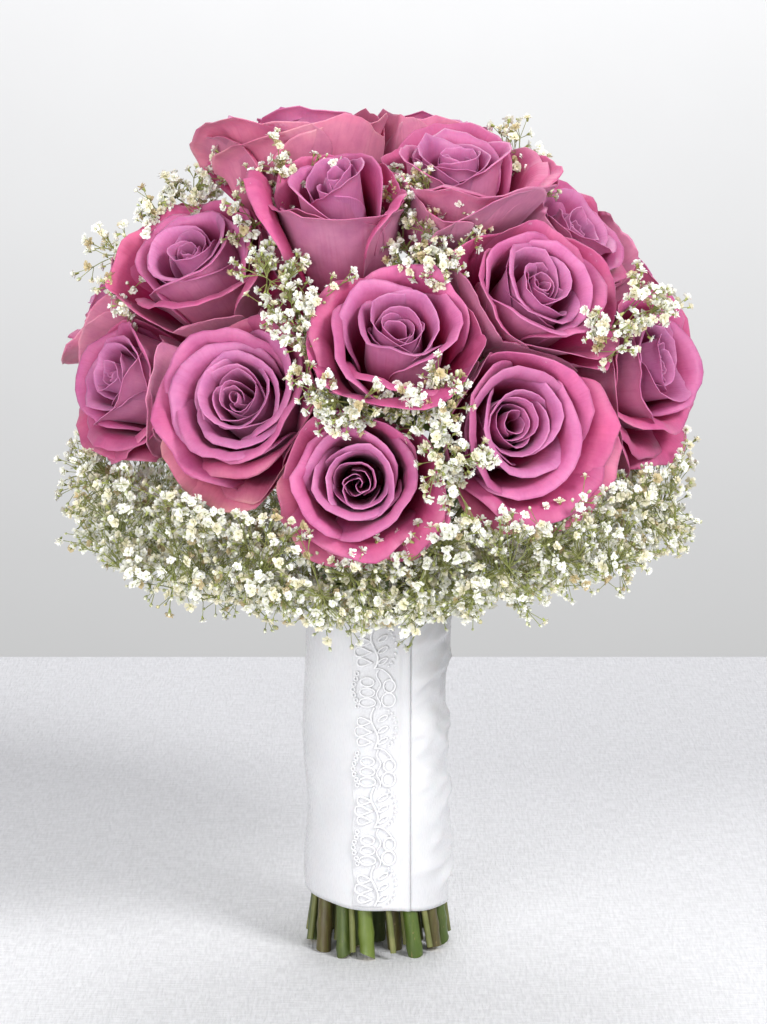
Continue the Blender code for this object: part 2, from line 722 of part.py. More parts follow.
def collar_headings():
    """Each collar spray's azimuth, and the azimuths halfway to its neighbours."""
    count = len(OUTER_SLOTS)
    middles = []
    for gap in COLLAR_GAPS:
        after = OUTER_SLOTS[(gap + 1) % count] + (360 if gap == count - 1 else 0)
        middles.append((OUTER_SLOTS[gap] + after) / 2 + TWIST)
    found = []
    for place, heading in enumerate(middles):
        before = middles[place - 1] - (360 if place == 0 else 0)
        after = middles[(place + 1) % len(middles)] + (360 if place == len(middles) - 1 else 0)
        found.append((heading, (before + heading) / 2, (heading + after) / 2))
    return found


def ring(name, radius, wall, edge_low, edge_high, sides, surface, parts):
    """A standing band: an open sleeve with its wall laid inwards."""
    shape = bmesh.new()
    bmesh.ops.create_cone(shape, cap_ends=False, segments=sides, radius1=radius, radius2=radius, depth=2)
    for vertex in shape.verts:
        edge = edge_high if vertex.co.z > 0 else edge_low
        vertex.co.z = edge(vertex.co.x / radius)
    made = as_object(name, shape)
    skin = made.modifiers.new("wall", "SOLIDIFY")
    skin.thickness = wall * MM
    skin.offset = -1
    skin.use_even_offset = True
    return fuse(name, [made], surface, parts)


def lace(surface, parts):
    """The lace band down the front of the wrap, with a scalloped edge."""

    def place(across, up):
        z = mix(WRAP_BOTTOM_Z + LACE_MARGIN[0], WRAP_TOP_Z - LACE_MARGIN[1], up)
        swing = LACE_SCALLOP * np.cos(up * LACE_ROWS * math.pi) * np.abs(across)
        angle = np.radians(LACE_AZIMUTH) + across * LACE_WIDTH / 2 * (1 + swing) / WRAP_RADIUS
        radius = WRAP_RADIUS + GAP + LACE_THICKNESS / 2 + LACE_BOW
        return np.stack([radius * np.sin(angle), -radius * np.cos(angle), z], -1)

    return fuse("lace_band", [blade("lace_band", place, 3, LACE_ROWS, LACE_THICKNESS)], surface, parts)


def main():
    for thing in list(bpy.data.objects):
        bpy.data.objects.remove(thing)
    parts = bpy.data.collections.new("bridal_bouquet")
    bpy.context.scene.collection.children.link(parts)
    petals = material("petal", PINK, 0.55)
    green = material("stem", GREEN, 0.5)
    cream = material("gypsophila", CREAM, 0.6)
    satin = material("satin", WHITE, 0.35)
    thread = material("lace", WHITE, 0.7)
    tape = material("tape", TAPE, 0.6)

    solids = [
        ring("satin_wrap", WRAP_RADIUS, WRAP_WALL, lambda x: WRAP_BOTTOM_Z - WRAP_SLANT * x,
             lambda x: WRAP_TOP_Z, WRAP_SIDES, satin, parts),
        ring("stem_binding", BINDING_RADIUS, BINDING_WALL, lambda x: NECK_Z - BINDING_HEIGHT,
             lambda x: NECK_Z, BINDING_SIDES, tape, parts),
    ]
    lace(thread, parts)
    solids += [bloom(index, petals, parts) for index in range(len(ROSES))]
    places = stem_slots()
    ways = spread([stem_way(flower, places[index]) for index, flower in enumerate(ROSES)])
    for index, way in enumerate(ways):
        solids.append(stem(index, way, green, parts))
    for number, place in enumerate(collar_headings(), start=1):
        solids.append(collar_spray(number, *place, tree_of(solids), cream, parts))
    fill_slots = shared_out([azimuth_of(fill[0]) for fill in FILLS], FILL_SLOTS)
    for number, fill in enumerate(FILLS):
        name_number = number + len(COLLAR_GAPS) + 1
        solids.append(fill_spray(name_number, fill, fill_slots[number], tree_of(solids), cream, parts))


main()
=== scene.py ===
"""The looks of the bridal bouquet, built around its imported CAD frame.

Twenty garden roses with single petals, sprays of gypsophila with florets on hair-thin stalks, green stems,
and a handle in a satin wrap with a lace band. Lengths are in millimetres until a shape becomes an object,
which is in metres. Angles are given in degrees. An azimuth runs from the front (-Y) towards +X.
"""

import math
from collections import namedtuple

import bpy
import numpy as np
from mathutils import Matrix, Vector


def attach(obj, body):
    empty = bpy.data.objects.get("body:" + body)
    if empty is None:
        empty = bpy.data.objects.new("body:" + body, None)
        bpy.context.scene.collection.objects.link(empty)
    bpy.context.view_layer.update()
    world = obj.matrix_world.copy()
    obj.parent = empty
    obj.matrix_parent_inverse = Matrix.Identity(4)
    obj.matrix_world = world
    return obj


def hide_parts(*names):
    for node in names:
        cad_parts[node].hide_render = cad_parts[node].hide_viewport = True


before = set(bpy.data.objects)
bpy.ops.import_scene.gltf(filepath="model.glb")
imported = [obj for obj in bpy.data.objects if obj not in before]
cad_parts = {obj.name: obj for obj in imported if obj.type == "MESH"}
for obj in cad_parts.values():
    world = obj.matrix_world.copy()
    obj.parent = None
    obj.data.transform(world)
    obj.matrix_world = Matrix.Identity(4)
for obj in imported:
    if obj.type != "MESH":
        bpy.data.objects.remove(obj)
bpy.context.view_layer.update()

MM = 0.001
GAP = 0.3  # between pieces that touch
GOLDEN_TURN = math.radians(137.5)

# The photograph's camera, and the table and the wall around the bouquet
IMAGE = (767, 1024)  # pixels
SENSOR = 36  # height of the camera's sensor
LENS = 127.8
AIM = (2.4, 0, 196.3)
CAMERA_RISE = 11
CAMERA_REACH = 1600
TABLE_X = 2500
TABLE_Y = (-2200, 554)
WALL_X = 3500
WALL_Y = 3000
WALL_Z = (-1500, 3000)

# The ball that a rose about fills, and how its petals are pressed back from its neighbours, as in part.py
BALL_DEPTH = 0.42
BALL_SHARE = 0.88
PRESS_SOFTNESS = 2.0
PRESS_ROOM = 0.2

# Petals: t is a petal's share of the way out from the eye of its rose
PETAL_THICKNESS = 0.25
PETAL_WIDTH = 2.05  # as a share of the rose's radius
PETAL_HALF_TURN = math.radians(135)  # the most that half of one wraps round
PETAL_NECK = 3  # how far from the axis petals start
PETAL_DROP = 0.10  # how much shorter the outer ones are
PETAL_SPIRAL = 1.5  # how far one side stands out, and the other in
PETAL_FLARE = 2.0  # how far an outer one's sides stand out
PETAL_LEAN = 6.5  # the most that one leans aside
OUTER = (0.74, 0.95)  # from and to where in t a petal counts as an outer one
FAN = 0.94  # how much of a half wave spaces the columns
FINE_GRID = (25, 15)  # columns and rows of a petal
COARSE_GRID = (15, 10)
PROFILE_STEPS = 200
PROFILE_SMOOTHING = 15  # steps to either side
GUARD_SEED = 100  # the first guard petal's number in the random draws

# What is drawn at random for each petal, and what is chosen for a guard petal
Draw = namedtuple("Draw", "girth height bend width tip swell sink nick spiral flare "
                          "long shift short slide turn lean")
Guard = namedtuple("Guard", "around reach opened wide drop warm")

# Petal colours
# Deep magenta of a petal's lower part: partly the rose's own deeper colour at its base, partly painted shade
# of the hollows between petals
DEEP_AND_SHADE = np.array([0.42, 0.003, 0.090])
BODY = np.array([0.60, 0.120, 0.290])
MAUVE = np.array([0.58, 0.225, 0.430])
OUTSIDE = np.array([0.66, 0.315, 0.465])
WARM = np.array([0.72, 0.225, 0.320])
RIM = np.array([0.76, 0.38, 0.54])
WORN_RIM = np.array([0.82, 0.55, 0.36])


def rose(face, azimuth, tilt, radius, height, opened, guards=(), **looks):
    """A rose by the middle of its face, where it faces, its size, how open it is, and what is its own.

    Its guard petals go by their angle around it, anticlockwise from its right as it is seen from its front.
    """
    made = dict(layers=16, eye=2.2, spread=1.35, dome=0.92, ruffle=1.15, swirl=(0, 0), size=0.95, warm=0.25,
                grid=FINE_GRID)
    made.update(face=np.array(face, float), azimuth=azimuth, tilt=tilt, radius=radius, height=height,
                opened=opened, guards=[Guard(*guard) for guard in guards])
    made.update(looks)
    return made


ROSES = (
    rose((9, -96, 294), 3, 45, 31, 46, 0.35, eye=4.6, dome=0.9, guards=(
        (-10, 1.05, 0.75, 0.9, 0.18, 0.1), (200, 1.05, 0.5, 1.1, 0.2, 0.1), (-75, 1.0, 0.2, 1.2, 0.12, 0.0))),
    rose((-8, -111, 230), -2, 9, 33, 46, 0.5, layers=17, eye=1.8, size=0.9, dome=0.97, guards=(
        (-25, 1.0, 0.5, 0.8, 0.2, 0.1), (215, 0.95, 0.45, 1.0, 0.3, 0.6), (-95, 0.9, 0.35, 1.0, 0.35, 0.5))),
    rose((63, -95, 249), 24, 10, 35, 46, 0.55, swirl=(-5, 4), eye=4.5, dome=0.86, guards=(
        (-35, 1.05, 0.5, 0.9, 0.3, 0.4), (-100, 0.9, 0.4, 1.0, 0.4, 0.6), (170, 1.0, 0.6, 0.9, 0.2, 0.2))),
    rose((-60, -84, 262), -20, 25, 35, 46, 0.85, layers=22, warm=0.6, spread=1.15, guards=(
        (-110, 0.9, 0.45, 1.2, 0.5, 0.9), (-160, 0.98, 0.5, 0.9, 0.4, 0.8), (35, 1.05, 0.8, 0.6, 0.2, 0.8),
        (-60, 0.9, 0.4, 0.9, 0.5, 0.7))),
    rose((70, -65, 307), 32, 36, 33, 46, 0.55, layers=21, guards=(
        (190, 1.25, 0.85, 0.7, 0.2, 0.1), (235, 1.25, 0.9, 0.9, 0.35, 0.1), (-60, 1.15, 0.8, 0.9, 0.3, 0.1),
        (120, 1.1, 0.6, 0.8, 0.1, 0.1))),
    rose((-82, -36, 318), -35, 48, 31, 48, 0.45, layers=17, guards=(
        (-120, 1.2, 0.8, 0.8, 0.3, 0.2), (-75, 1.2, 0.8, 0.8, 0.35, 0.3), (180, 1.1, 0.7, 0.9, 0.2, 0.4),
        (60, 1.05, 0.4, 0.9, 0.1, 0.3))),
    rose((-19, -54, 351), -14, 62, 26, 58, 0.1, layers=12, ruffle=0.5, guards=(
        (-90, 1.05, 0.02, 1.7, 0.07, 0.0), (-18, 1.1, 0.3, 0.8, 0.03, 0.1),
        (200, 1.12, 0.3, 0.8, 0.03, 0.1))),
    rose((33, -32, 357), 12, 73, 31, 50, 0.35, layers=17, dome=0.95, guards=(
        (-100, 1.12, 0.12, 1.4, 0.08, 0.15), (-55, 1.2, 0.45, 1.2, 0.2, 0.1), (-20, 1.2, 0.6, 0.9, 0.12, 0.3),
        (215, 1.15, 0.3, 1.2, 0.16, 0.1))),
    rose((125, -25, 267), 60, 16, 32, 50, 0.4, guards=(
        (-120, 1.1, 0.6, 1.1, 0.3, 0.1), (-70, 1.15, 0.7, 1.0, 0.3, 0.1), (180, 1.1, 0.3, 1.2, 0.2, 0.1))),
    rose((-116, -37, 264), -60, 18, 29, 50, 0.35, guards=(
        (-60, 1.0, 0.3, 1.1, 0.25, 0.2), (0, 1.1, 0.3, 1.1, 0.15, 0.2), (-120, 1.0, 0.35, 1.0, 0.2, 0.3))),
    rose((88, -5, 325), 70, 42, 32, 48, 0.4, layers=17, guards=(
        (160, 1.1, 0.3, 1.2, 0.1, 0.1), (-90, 1.15, 0.6, 1.0, 0.2, 0.2), (0, 1.1, 0.7, 1.0, 0.1, 0.2))),
    rose((-117, 19, 299), -95, 40, 32, 48, 0.4, layers=15, warm=0.5, guards=(
        (0, 1.1, 0.4, 1.2, 0.2, 0.5), (-60, 1.1, 0.6, 1.1, 0.2, 0.5), (60, 1.1, 0.5, 1.1, 0.1, 0.5))),
    rose((-33, 8, 369), -170, 84, 34, 52, 0.5, layers=19, warm=0.35, dome=1.0, eye=3.0, guards=(
        (92, 1.06, 0.22, 1.5, 0.15, 0.6), (140, 1.12, 0.35, 1.2, 0.1, 0.6), (40, 1.12, 0.35, 1.2, 0.08, 0.5),
        (195, 1.1, 0.5, 0.9, 0.05, 0.4))),
    rose((22, 34, 363), 165, 80, 31, 50, 0.4, layers=17, dome=0.97, guards=(
        (60, 1.12, 0.4, 1.2, 0.03, 0.5), (110, 1.12, 0.4, 1.2, 0.06, 0.4), (10, 1.1, 0.5, 1.0, 0.08, 0.5))),
    rose((117, 40, 292), 110, 30, 30, 48, 0.4, layers=14, guards=(
        (180, 1.1, 0.8, 0.9, 0.1, 0.3), (90, 1.1, 0.8, 0.9, 0.05, 0.3))),
    rose((88, 72, 240), 130, 12, 30, 46, 0.5, grid=COARSE_GRID),
    rose((14, 114, 240), 174, 12, 30, 46, 0.6, grid=COARSE_GRID),
    rose((-66, 90, 242), -142, 14, 30, 46, 0.5, grid=COARSE_GRID),
    rose((48, 76, 310), 150, 48, 30, 46, 0.4, grid=COARSE_GRID),
    rose((-40, 80, 306), -150, 47, 30, 46, 0.6, grid=COARSE_GRID),
)

# Rose stems: a stem is in line with its flower from the throat up, as in part.py
THROAT = 9
STEM_RADIUS = 3.3
STEM_TOP_RADII = (3.2, 3.9)
STEM_SIDES = 14
STEM_LEVELS = (4, 8, 12, 16, 20, 24, 40, 60, 80, 100, 120, 138, 150)  # where its solid's middle is looked up
STEM_STEP = 12
SLICE_REACH = (14, 9, 7)  # how near a slice's points lie to its middle, in ever closer looks
KNOT_SWELL = 1.12
SEPALS = 5
SEPAL_HALF_WIDTH = 3.2
SEPAL_THICKNESS = 0.5
PALE_GREEN = (0.12, 0.17, 0.026)
STEM_GREENS = ((0.062, 0.108, 0.010), PALE_GREEN, (0.062, 0.108, 0.010), (0.055, 0.085, 0.011))
STEM_BROWN = (0.080, 0.060, 0.016)
BROWN_STEMS = (2, 6, 9, 16)  # counted from 0
CUT_WOOD = (0.7, 0.6, 0.4)

# The collar of gypsophila: its sprays stand in the gaps between these outer stems, as in part.py
OUTER_SLOTS = (-86, -57, -31, -9, 35, 60, 80, 110, 140, 170, 200, 231, 251)
COLLAR_GAPS = (0, 2, 3, 4, 6, 8, 10, 12)
TWIST = -25
BED_IN = 37
BED_Z = 160.5
BED_SLOPE = 0.42
BED_OUT_SIDE = 110
BED_OUT_FRONT = 94
COLLAR_REACH = (15, 27)  # past the bed, at the front and at the sides
COLLAR_DENSITY = 22  # florets to a degree of the collar
COLLAR_CYME_SPREAD = 7.5
COLLAR_LEVELS = (12, 24, 60, 100, 140, 158, 163)
COLLAR_CLEAR = 1.08  # of a rose's ball, which the collar's florets keep out of
ARM_STEP = 6  # degrees from arm to arm
ARM_POINTS = 9
HANGING_SHARE = 0.10
HANGING_SPREAD = 6.0

# Florets, stalks and clumps
FLORET_RADIUS = 2.6
FLORET_WHORLS = ((7, 1.0, 0.22, 0.34), (5, 0.62, 0.66, 0.30))  # petals, their length, rise and half width
FLORET_PETAL = ((0.08, 0), (0.74, -1), (1.0, 0), (0.74, 1))  # its corners, along it and aside
CALYX = ((0.12, -0.65), (0.34, 0.0))  # radii and heights
BUD = ((0.10, -0.55), (0.38, -0.12), (0.34, 0.32), (0.06, 0.55))
FLORET_KINDS = 4
SPRAY_RADIUS = 1.4
STALK_RADIUS = 0.18
ARM_RADIUS = 0.42
CYME = 4  # florets on one branchlet
CLUMP_CYMES = 7
CLUMP_SPREAD = 4.7
CLUMP_CYME_SPREAD = 5.5
LOW_BRANCH = 55  # a clump this far under a spray's middle branches off lower down
FILL_LEVELS = (12, 24, 60, 100, 140, 150, 160)
FILL_STEP = 8
FILL_ARM_POINTS = 6
WHITE_UP_TO = 0.66  # the shares of the florets that are white, and white or cream
CREAM_UP_TO = 0.92
WHITE = np.array([0.97, 0.965, 0.93])
CREAM = np.array([0.91, 0.86, 0.70])
TAN = np.array([0.62, 0.50, 0.30])
BUD_GREEN = np.array([0.52, 0.58, 0.26])
TWIG_GREEN = np.array([0.21, 0.235, 0.065])


def seen_at(across, down, depth):
    """The place, in whole millimetres, that the photograph shows at a pixel, at a depth (Y)."""
    focal = LENS / SENSOR * IMAGE[1]
    rise = math.radians(CAMERA_RISE)
    right, up = (across - IMAGE[0] / 2) / focal, (IMAGE[1] / 2 - down) / focal
    span = (depth + CAMERA_REACH * math.cos(rise)) / (math.cos(rise) + up * math.sin(rise))
    height = AIM[2] + CAMERA_REACH * math.sin(rise) + span * (up * math.cos(rise) - math.sin(rise))
    return round(AIM[0] + span * right), depth, round(height)


def fill(middle, clump_pixels=(), clump_places=()):
    """A spray between the roses: its middle, as in part.py, and the places of its clumps of florets.

    A clump that the photograph shows is a pixel across and down it, with a depth (Y), and others are places.
    """
    clumps = [seen_at(*pixel) for pixel in clump_pixels] + list(clump_places)
    return np.array(middle, float), np.array(clumps, float)


FILLS = {
    "front_left": fill((-40, -76, 308), clump_pixels=(
        (262, 262, -66), (290, 265, -66), (300, 295, -76), (282, 320, -84), (312, 340, -88), (268, 300, -78),
        (326, 300, -78), (312, 385, -108), (322, 405, -110), (345, 412, -114), (366, 414, -116),
        (332, 395, -108))),
    "upper_left": fill((-46, -28, 345), clump_pixels=(
        (262, 185, -38), (275, 215, -42), (250, 225, -50), (300, 165, -36), (282, 180, -38)),
        clump_places=((-60, 0, 346),)),
    "upper_middle": fill((22, -64, 334), clump_pixels=(
        (405, 195, -50), (430, 190, -46), (440, 225, -56), (420, 218, -60), (458, 215, -50), (440, 258, -66),
        (468, 240, -56), (422, 262, -72), (452, 275, -74)),
        clump_places=((8, -50, 321), (6, -60, 312), (8, -34, 332), (14, -24, 340))),
    "upper_right": fill((60, 0, 350), clump_pixels=(
        (520, 150, 0), (530, 180, -8), (545, 195, -14), (516, 168, -6)),
        clump_places=((54, 14, 358),)),
    "right": fill((104, -46, 290), clump_pixels=(
        (640, 285, -52), (660, 298, -50), (604, 322, -72), (622, 345, -70), (650, 310, -55)),
        clump_places=((88, 10, 230), (84, 26, 222), (86, 32, 242), (80, 12, 214), (92, 44, 232))),
    "front_middle": fill((30, -108, 256), clump_pixels=(
        (420, 398, -112), (446, 398, -112), (440, 430, -116), (456, 448, -116), (430, 455, -120),
        (452, 478, -116), (462, 500, -112), (440, 380, -108), (470, 460, -108)),
        clump_places=((11, -104, 257), (4, -104, 262))),
    "left": fill((-86, 14, 336), clump_pixels=(
        (150, 205, -6), (176, 186, -2), (192, 178, 0), (142, 228, -10), (120, 250, -6), (108, 258, -4),
        (125, 300, -20)),
        clump_places=((-80, 40, 335), (-88, -2, 228), (-90, 20, 234), (-86, 40, 226), (-80, 10, 214),
                      (-78, 34, 212), (-92, 46, 240))),
    "upper_back": fill((2, 86, 330), clump_places=(
        (2, 86, 330), (-6, 78, 340), (12, 92, 322), (6, 70, 348), (-2, 98, 312), (14, 80, 334))),
    "lower_back": fill((-24, 108, 272), clump_places=(
        (-24, 108, 272), (-16, 106, 284), (-30, 104, 260), (-22, 112, 292), (40, 106, 272), (52, 100, 262),
        (-90, 62, 280))),
}

# The wrap
WRAP_RADIUS = 32
WRAP_BOTTOM_Z = 23
WRAP_TOP_Z = 158
WRAP_SLANT = 2.5
SEAM_AZIMUTH = 27
WRAP_TURN = 400  # once round the handle, with a lap
WRAP_GRID = (170, 70)
FABRIC = 0.4
CREASES = 60
CREASE_HEIGHT = 2.8

# The lace
LACE_AZIMUTH = -2
LACE_WIDTH = 21
LACE_MARGINS = (2, 6)  # bare satin below it and above it
LACE_GRID = (120, 15)
LACE_SCALLOPS = 14
LACE_HALVES = 7  # half repeats of its pattern
NET_THICKNESS = 0.06
CORD_RADIUS = 0.42
CORD_LIFT = 0.75
PEARL_LIFT = 0.9
PEARL_RADIUS = 0.6
PEARL_SIDES = 8
PEARL_RINGS = 4


def mix(a, b, t):
    """The value at share t of the way from a to b."""
    return a + (b - a) * t


def smooth(x, a, b):
    """A soft step from 0 at a to 1 at b."""
    t = np.clip((x - a) / (b - a), 0.0, 1.0)
    return t * t * (3 - 2 * t)


def hump(x, middle, width):
    """A bell of height 1 about a middle."""
    return np.exp(-((x - middle) / width) ** 2)


def unit(vectors):
    """Vectors brought to a length of one."""
    return vectors / np.maximum(np.linalg.norm(vectors, axis=-1, keepdims=True), 1e-12)


def direction(azimuth, tilt=0.0):
    """The unit vector that faces an azimuth, tilted up."""
    a, e = math.radians(azimuth), math.radians(tilt)
    return np.array([math.sin(a) * math.cos(e), -math.cos(a) * math.cos(e), math.sin(e)])


def ring_quads(rings, sides):
    """The faces between rings of points that follow each other."""
    start = np.arange(rings - 1)[:, None] * sides
    here = np.arange(sides)
    after = (here + 1) % sides
    corners = (start + here, start + after, start + sides + after, start + sides + here)
    return np.stack(corners, -1).reshape(-1, 4)


def rings_of(outline, sides):
    """Rings of points about Z, for an outline of radii and heights."""
    angles = np.arange(sides) * 2 * math.pi / sides
    rings = [np.stack([radius * np.cos(angles), radius * np.sin(angles), np.full(sides, height)], -1)
             for radius, height in outline]
    return np.concatenate(rings)


def in_scene(name, data):
    """A new object in the scene."""
    made = bpy.data.objects.new(name, data)
    bpy.context.scene.collection.objects.link(made)
    return made


class Shape:
    """Points and faces gathered for one mesh, with a colour for each point and a material for each face."""

    def __init__(self):
        self.points, self.faces, self.tints, self.slots, self.spots = [], [], [], [], []
        self.count = 0

    def add(self, points, faces, tint=(1, 1, 1), slot=0, spot=None):
        """Adds points and faces. A spot is a point's way across and up its petal."""
        points = np.asarray(points, float).reshape(-1, 3)
        self.points.append(points)
        self.faces += (np.asarray(faces) + self.count).tolist()
        self.slots += np.broadcast_to(slot, len(faces)).tolist()
        self.tints.append(np.broadcast_to(np.asarray(tint, float), (len(points), 3)))
        self.spots.append(np.zeros((len(points), 2)) if spot is None else spot)
        self.count += len(points)

    def paint(self, mesh):
        """Writes the colours and the spots, for the materials to read."""
        tints = np.column_stack([np.concatenate(self.tints), np.ones(self.count)])
        colour = mesh.color_attributes.new("tint", "FLOAT_COLOR", "POINT")
        colour.data.foreach_set("color", tints.astype(np.float32).ravel())
        corners = np.zeros(len(mesh.loops), np.int32)
        mesh.loops.foreach_get("vertex_index", corners)
        layer = mesh.uv_layers.new(name="way")
        layer.data.foreach_set("uv", np.concatenate(self.spots)[corners].astype(np.float32).ravel())

    def as_object(self, name, materials, node=None):
        """A smooth piece, which stands for a CAD node unless it only lies on another piece."""
        mesh = bpy.data.meshes.new(name)
        mesh.from_pydata((np.concatenate(self.points) * MM).tolist(), [], self.faces)
        for surface in materials:
            mesh.materials.append(surface)
        mesh.polygons.foreach_set("material_index", np.array(self.slots, np.int32))
        mesh.shade_smooth()
        made = in_scene(name, mesh)
        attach(made, "root")
        if node:
            self.paint(mesh)
            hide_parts(node)
        return made


# Materials

class Surface:
    """A Principled material whose sockets are fed by short chains of nodes."""

    def __init__(self, name, roughness, **constants):
        self.material = bpy.data.materials.new(name)
        self.material.use_nodes = True
        self.tree = self.material.node_tree
        self.shader = self.tree.nodes["Principled BSDF"]
        self.shader.inputs["Roughness"].default_value = roughness
        for socket, value in constants.items():
            self.shader.inputs[socket.replace("_", " ")].default_value = value

    def finish(self, colour, roughness, normal=None):
        """Feeds the shader, and gives the material."""
        for socket, output in (("Base Color", colour), ("Roughness", roughness), ("Normal", normal)):
            if output is not None:
                self.tree.links.new(output, self.shader.inputs[socket])
        return self.material

    def node(self, kind, inputs=(), **settings):
        """A node with its settings, and its inputs as values or links."""
        made = self.tree.nodes.new("ShaderNode" + kind)
        for key, value in settings.items():
            setattr(made, key, value)
        for key, value in dict(inputs).items():
            if isinstance(value, bpy.types.NodeSocket):
                self.tree.links.new(value, made.inputs[key])
            else:
                made.inputs[key].default_value = value
        return made

    def tint(self):
        """The colour of the mesh's points."""
        return self.node("Attribute", attribute_name="tint").outputs["Color"]

    def place(self, stretch=(1, 1, 1)):
        """Coordinates in millimetres of the object, stretched."""
        source = self.node("TexCoord").outputs["Object"]
        return self.node("Mapping", {"Vector": source, "Scale": [s / MM for s in stretch]}).outputs[0]

    def way(self, stretch):
        """The way across and up a petal, stretched."""
        source = self.node("UVMap", uv_map="way").outputs[0]
        return self.node("Mapping", {"Vector": source, "Scale": stretch}).outputs[0]

    def along(self, axis):
        """The millimetres along one axis of the object."""
        return self.node("SeparateXYZ", {"Vector": self.place()}).outputs[axis]

    def noise(self, place, scale, detail=3.0, roughness=0.5):
        """Soft noise from 0 to 1."""
        inputs = {"Vector": place, "Scale": scale, "Detail": detail, "Roughness": roughness}
        return self.node("TexNoise", inputs).outputs["Fac"]

    def between(self, factor, low, high, start=0.3, end=0.7):
        """A value that goes from low to high as the factor does from start to end."""
        inputs = {"Value": factor, "From Min": start, "From Max": end, "To Min": low, "To Max": high}
        return self.node("MapRange", inputs).outputs[0]

    def blend(self, a, b, factor, kind="MIX"):
        """A mix of two colours."""
        made = self.node("Mix", data_type="RGBA", blend_type=kind)
        for socket, value in ((made.inputs[0], factor), (made.inputs[6], a), (made.inputs[7], b)):
            if isinstance(value, bpy.types.NodeSocket):
                self.tree.links.new(value, socket)
            else:
                socket.default_value = (*value, 1) if isinstance(value, tuple) else value
        return made.outputs[2]

    def bump(self, height, distance, strength=1.0, below=None):
        """Relief of a depth in millimetres, over the relief below it."""
        inputs = {"Height": height, "Distance": distance * MM, "Strength": strength}
        if below is not None:
            inputs["Normal"] = below
        return self.node("Bump", inputs).outputs[0]


def petal_surface():
    """Velvety rose petal: fine veins along it, a mottled bloom and a soft sheen."""
    made = Surface("rose_petal", 0.5, Sheen_Weight=0.10, Sheen_Roughness=0.35,
                   Sheen_Tint=(0.95, 0.72, 1.0, 1), Subsurface_Weight=0.15,
                   Subsurface_Radius=(1.0, 0.15, 0.35), Subsurface_Scale=0.0025, Specular_IOR_Level=0.28)
    veins = made.noise(made.way((26, 2.2, 1)), 1.0, 4)
    mottle = made.noise(made.place(), 0.11, 4, 0.6)
    fleck = made.noise(made.place(), 0.7, 2)
    bloom = made.blend((0.64, 0.42, 0.62), (1.18, 1.18, 1.10), mottle)
    base = made.blend(made.tint(), bloom, 1.0, "MULTIPLY")
    veined = made.blend(base, (0.40, 0.03, 0.12), made.between(veins, 0.0, 0.22, 0.5, 0.78))
    relief = made.bump(veins, 0.25, 0.6, below=made.bump(fleck, 0.12, 0.5))
    return made.finish(veined, made.between(mottle, 0.42, 0.60), relief)


def floret_surface():
    """Thin papery petals that light comes through a little."""
    made = Surface("gypsophila_petal", 0.6, Subsurface_Weight=0.2, Subsurface_Radius=(1.0, 0.9, 0.7),
                   Subsurface_Scale=0.001)
    grain = made.noise(made.place(), 0.9, 3)
    colour = made.blend(made.tint(), (0.72, 0.68, 0.52), made.between(grain, 0.0, 0.35, 0.45, 0.8))
    return made.finish(colour, made.between(grain, 0.5, 0.7), made.bump(grain, 0.2, 0.5))


def twig_surface():
    """Green stalks and calyces, paler and browner in places."""
    made = Surface("gypsophila_green", 0.55)
    patches = made.noise(made.place(), 0.12, 3)
    streaks = made.noise(made.place((1, 1, 0.1)), 1.5)
    colour = made.blend(made.tint(), (0.33, 0.30, 0.12), made.between(patches, 0.0, 0.6, 0.45, 0.8))
    return made.finish(colour, made.between(patches, 0.45, 0.65), made.bump(streaks, 0.1, 0.5))


def stem_surface():
    """Rose stem bark: long streaks, darker patches, brown flecks and a waxy skin."""
    made = Surface("rose_stem", 0.42, Coat_Weight=0.08, Coat_Roughness=0.4)
    streaks = made.noise(made.place((1, 1, 0.06)), 0.9, 4, 0.6)
    patches = made.noise(made.place((1, 1, 0.4)), 0.09, 3)
    flecks = made.noise(made.place((1, 1, 0.35)), 1.1, 2)
    colour = made.blend(made.tint(), (0.17, 0.21, 0.04), made.between(streaks, 0.0, 0.4, 0.45, 0.75))
    colour = made.blend(colour, (0.04, 0.05, 0.012), made.between(patches, 0.0, 0.5, 0.5, 0.8))
    colour = made.blend(colour, (0.24, 0.17, 0.07), made.between(flecks, 0.0, 0.8, 0.66, 0.74))
    relief = made.bump(streaks, 0.3, 0.6, below=made.bump(flecks, 0.15, 0.5))
    return made.finish(colour, made.between(streaks, 0.36, 0.55), relief)


def cut_surface():
    """Pale fibrous wood of a cut end."""
    made = Surface("cut_end", 0.75)
    fibres = made.noise(made.place((1, 1, 0.3)), 1.6, 5, 0.7)
    colour = made.blend((0.42, 0.35, 0.20), (0.78, 0.72, 0.50), made.between(fibres, 0.0, 1.0, 0.35, 0.65))
    return made.finish(colour, made.between(fibres, 0.65, 0.9), made.bump(fibres, 0.5, 0.9))


def satin_surface():
    """Bridal satin: a smooth sheen with the fine float of its warp."""
    made = Surface("satin", 0.30, Sheen_Weight=0.2, Sheen_Roughness=0.3, Specular_IOR_Level=0.45,
                   Subsurface_Weight=0.05, Subsurface_Scale=0.001)
    warp = made.noise(made.place((6, 6, 0.35)), 1.0, 2)
    cloud = made.noise(made.place(), 0.05, 3)
    colour = made.blend((0.63, 0.63, 0.65), (0.69, 0.69, 0.705), made.between(cloud, 0.0, 1.0))
    relief = made.bump(warp, 0.03, 0.5, below=made.bump(cloud, 0.6, 0.4))
    return made.finish(colour, made.between(warp, 0.22, 0.36), relief)


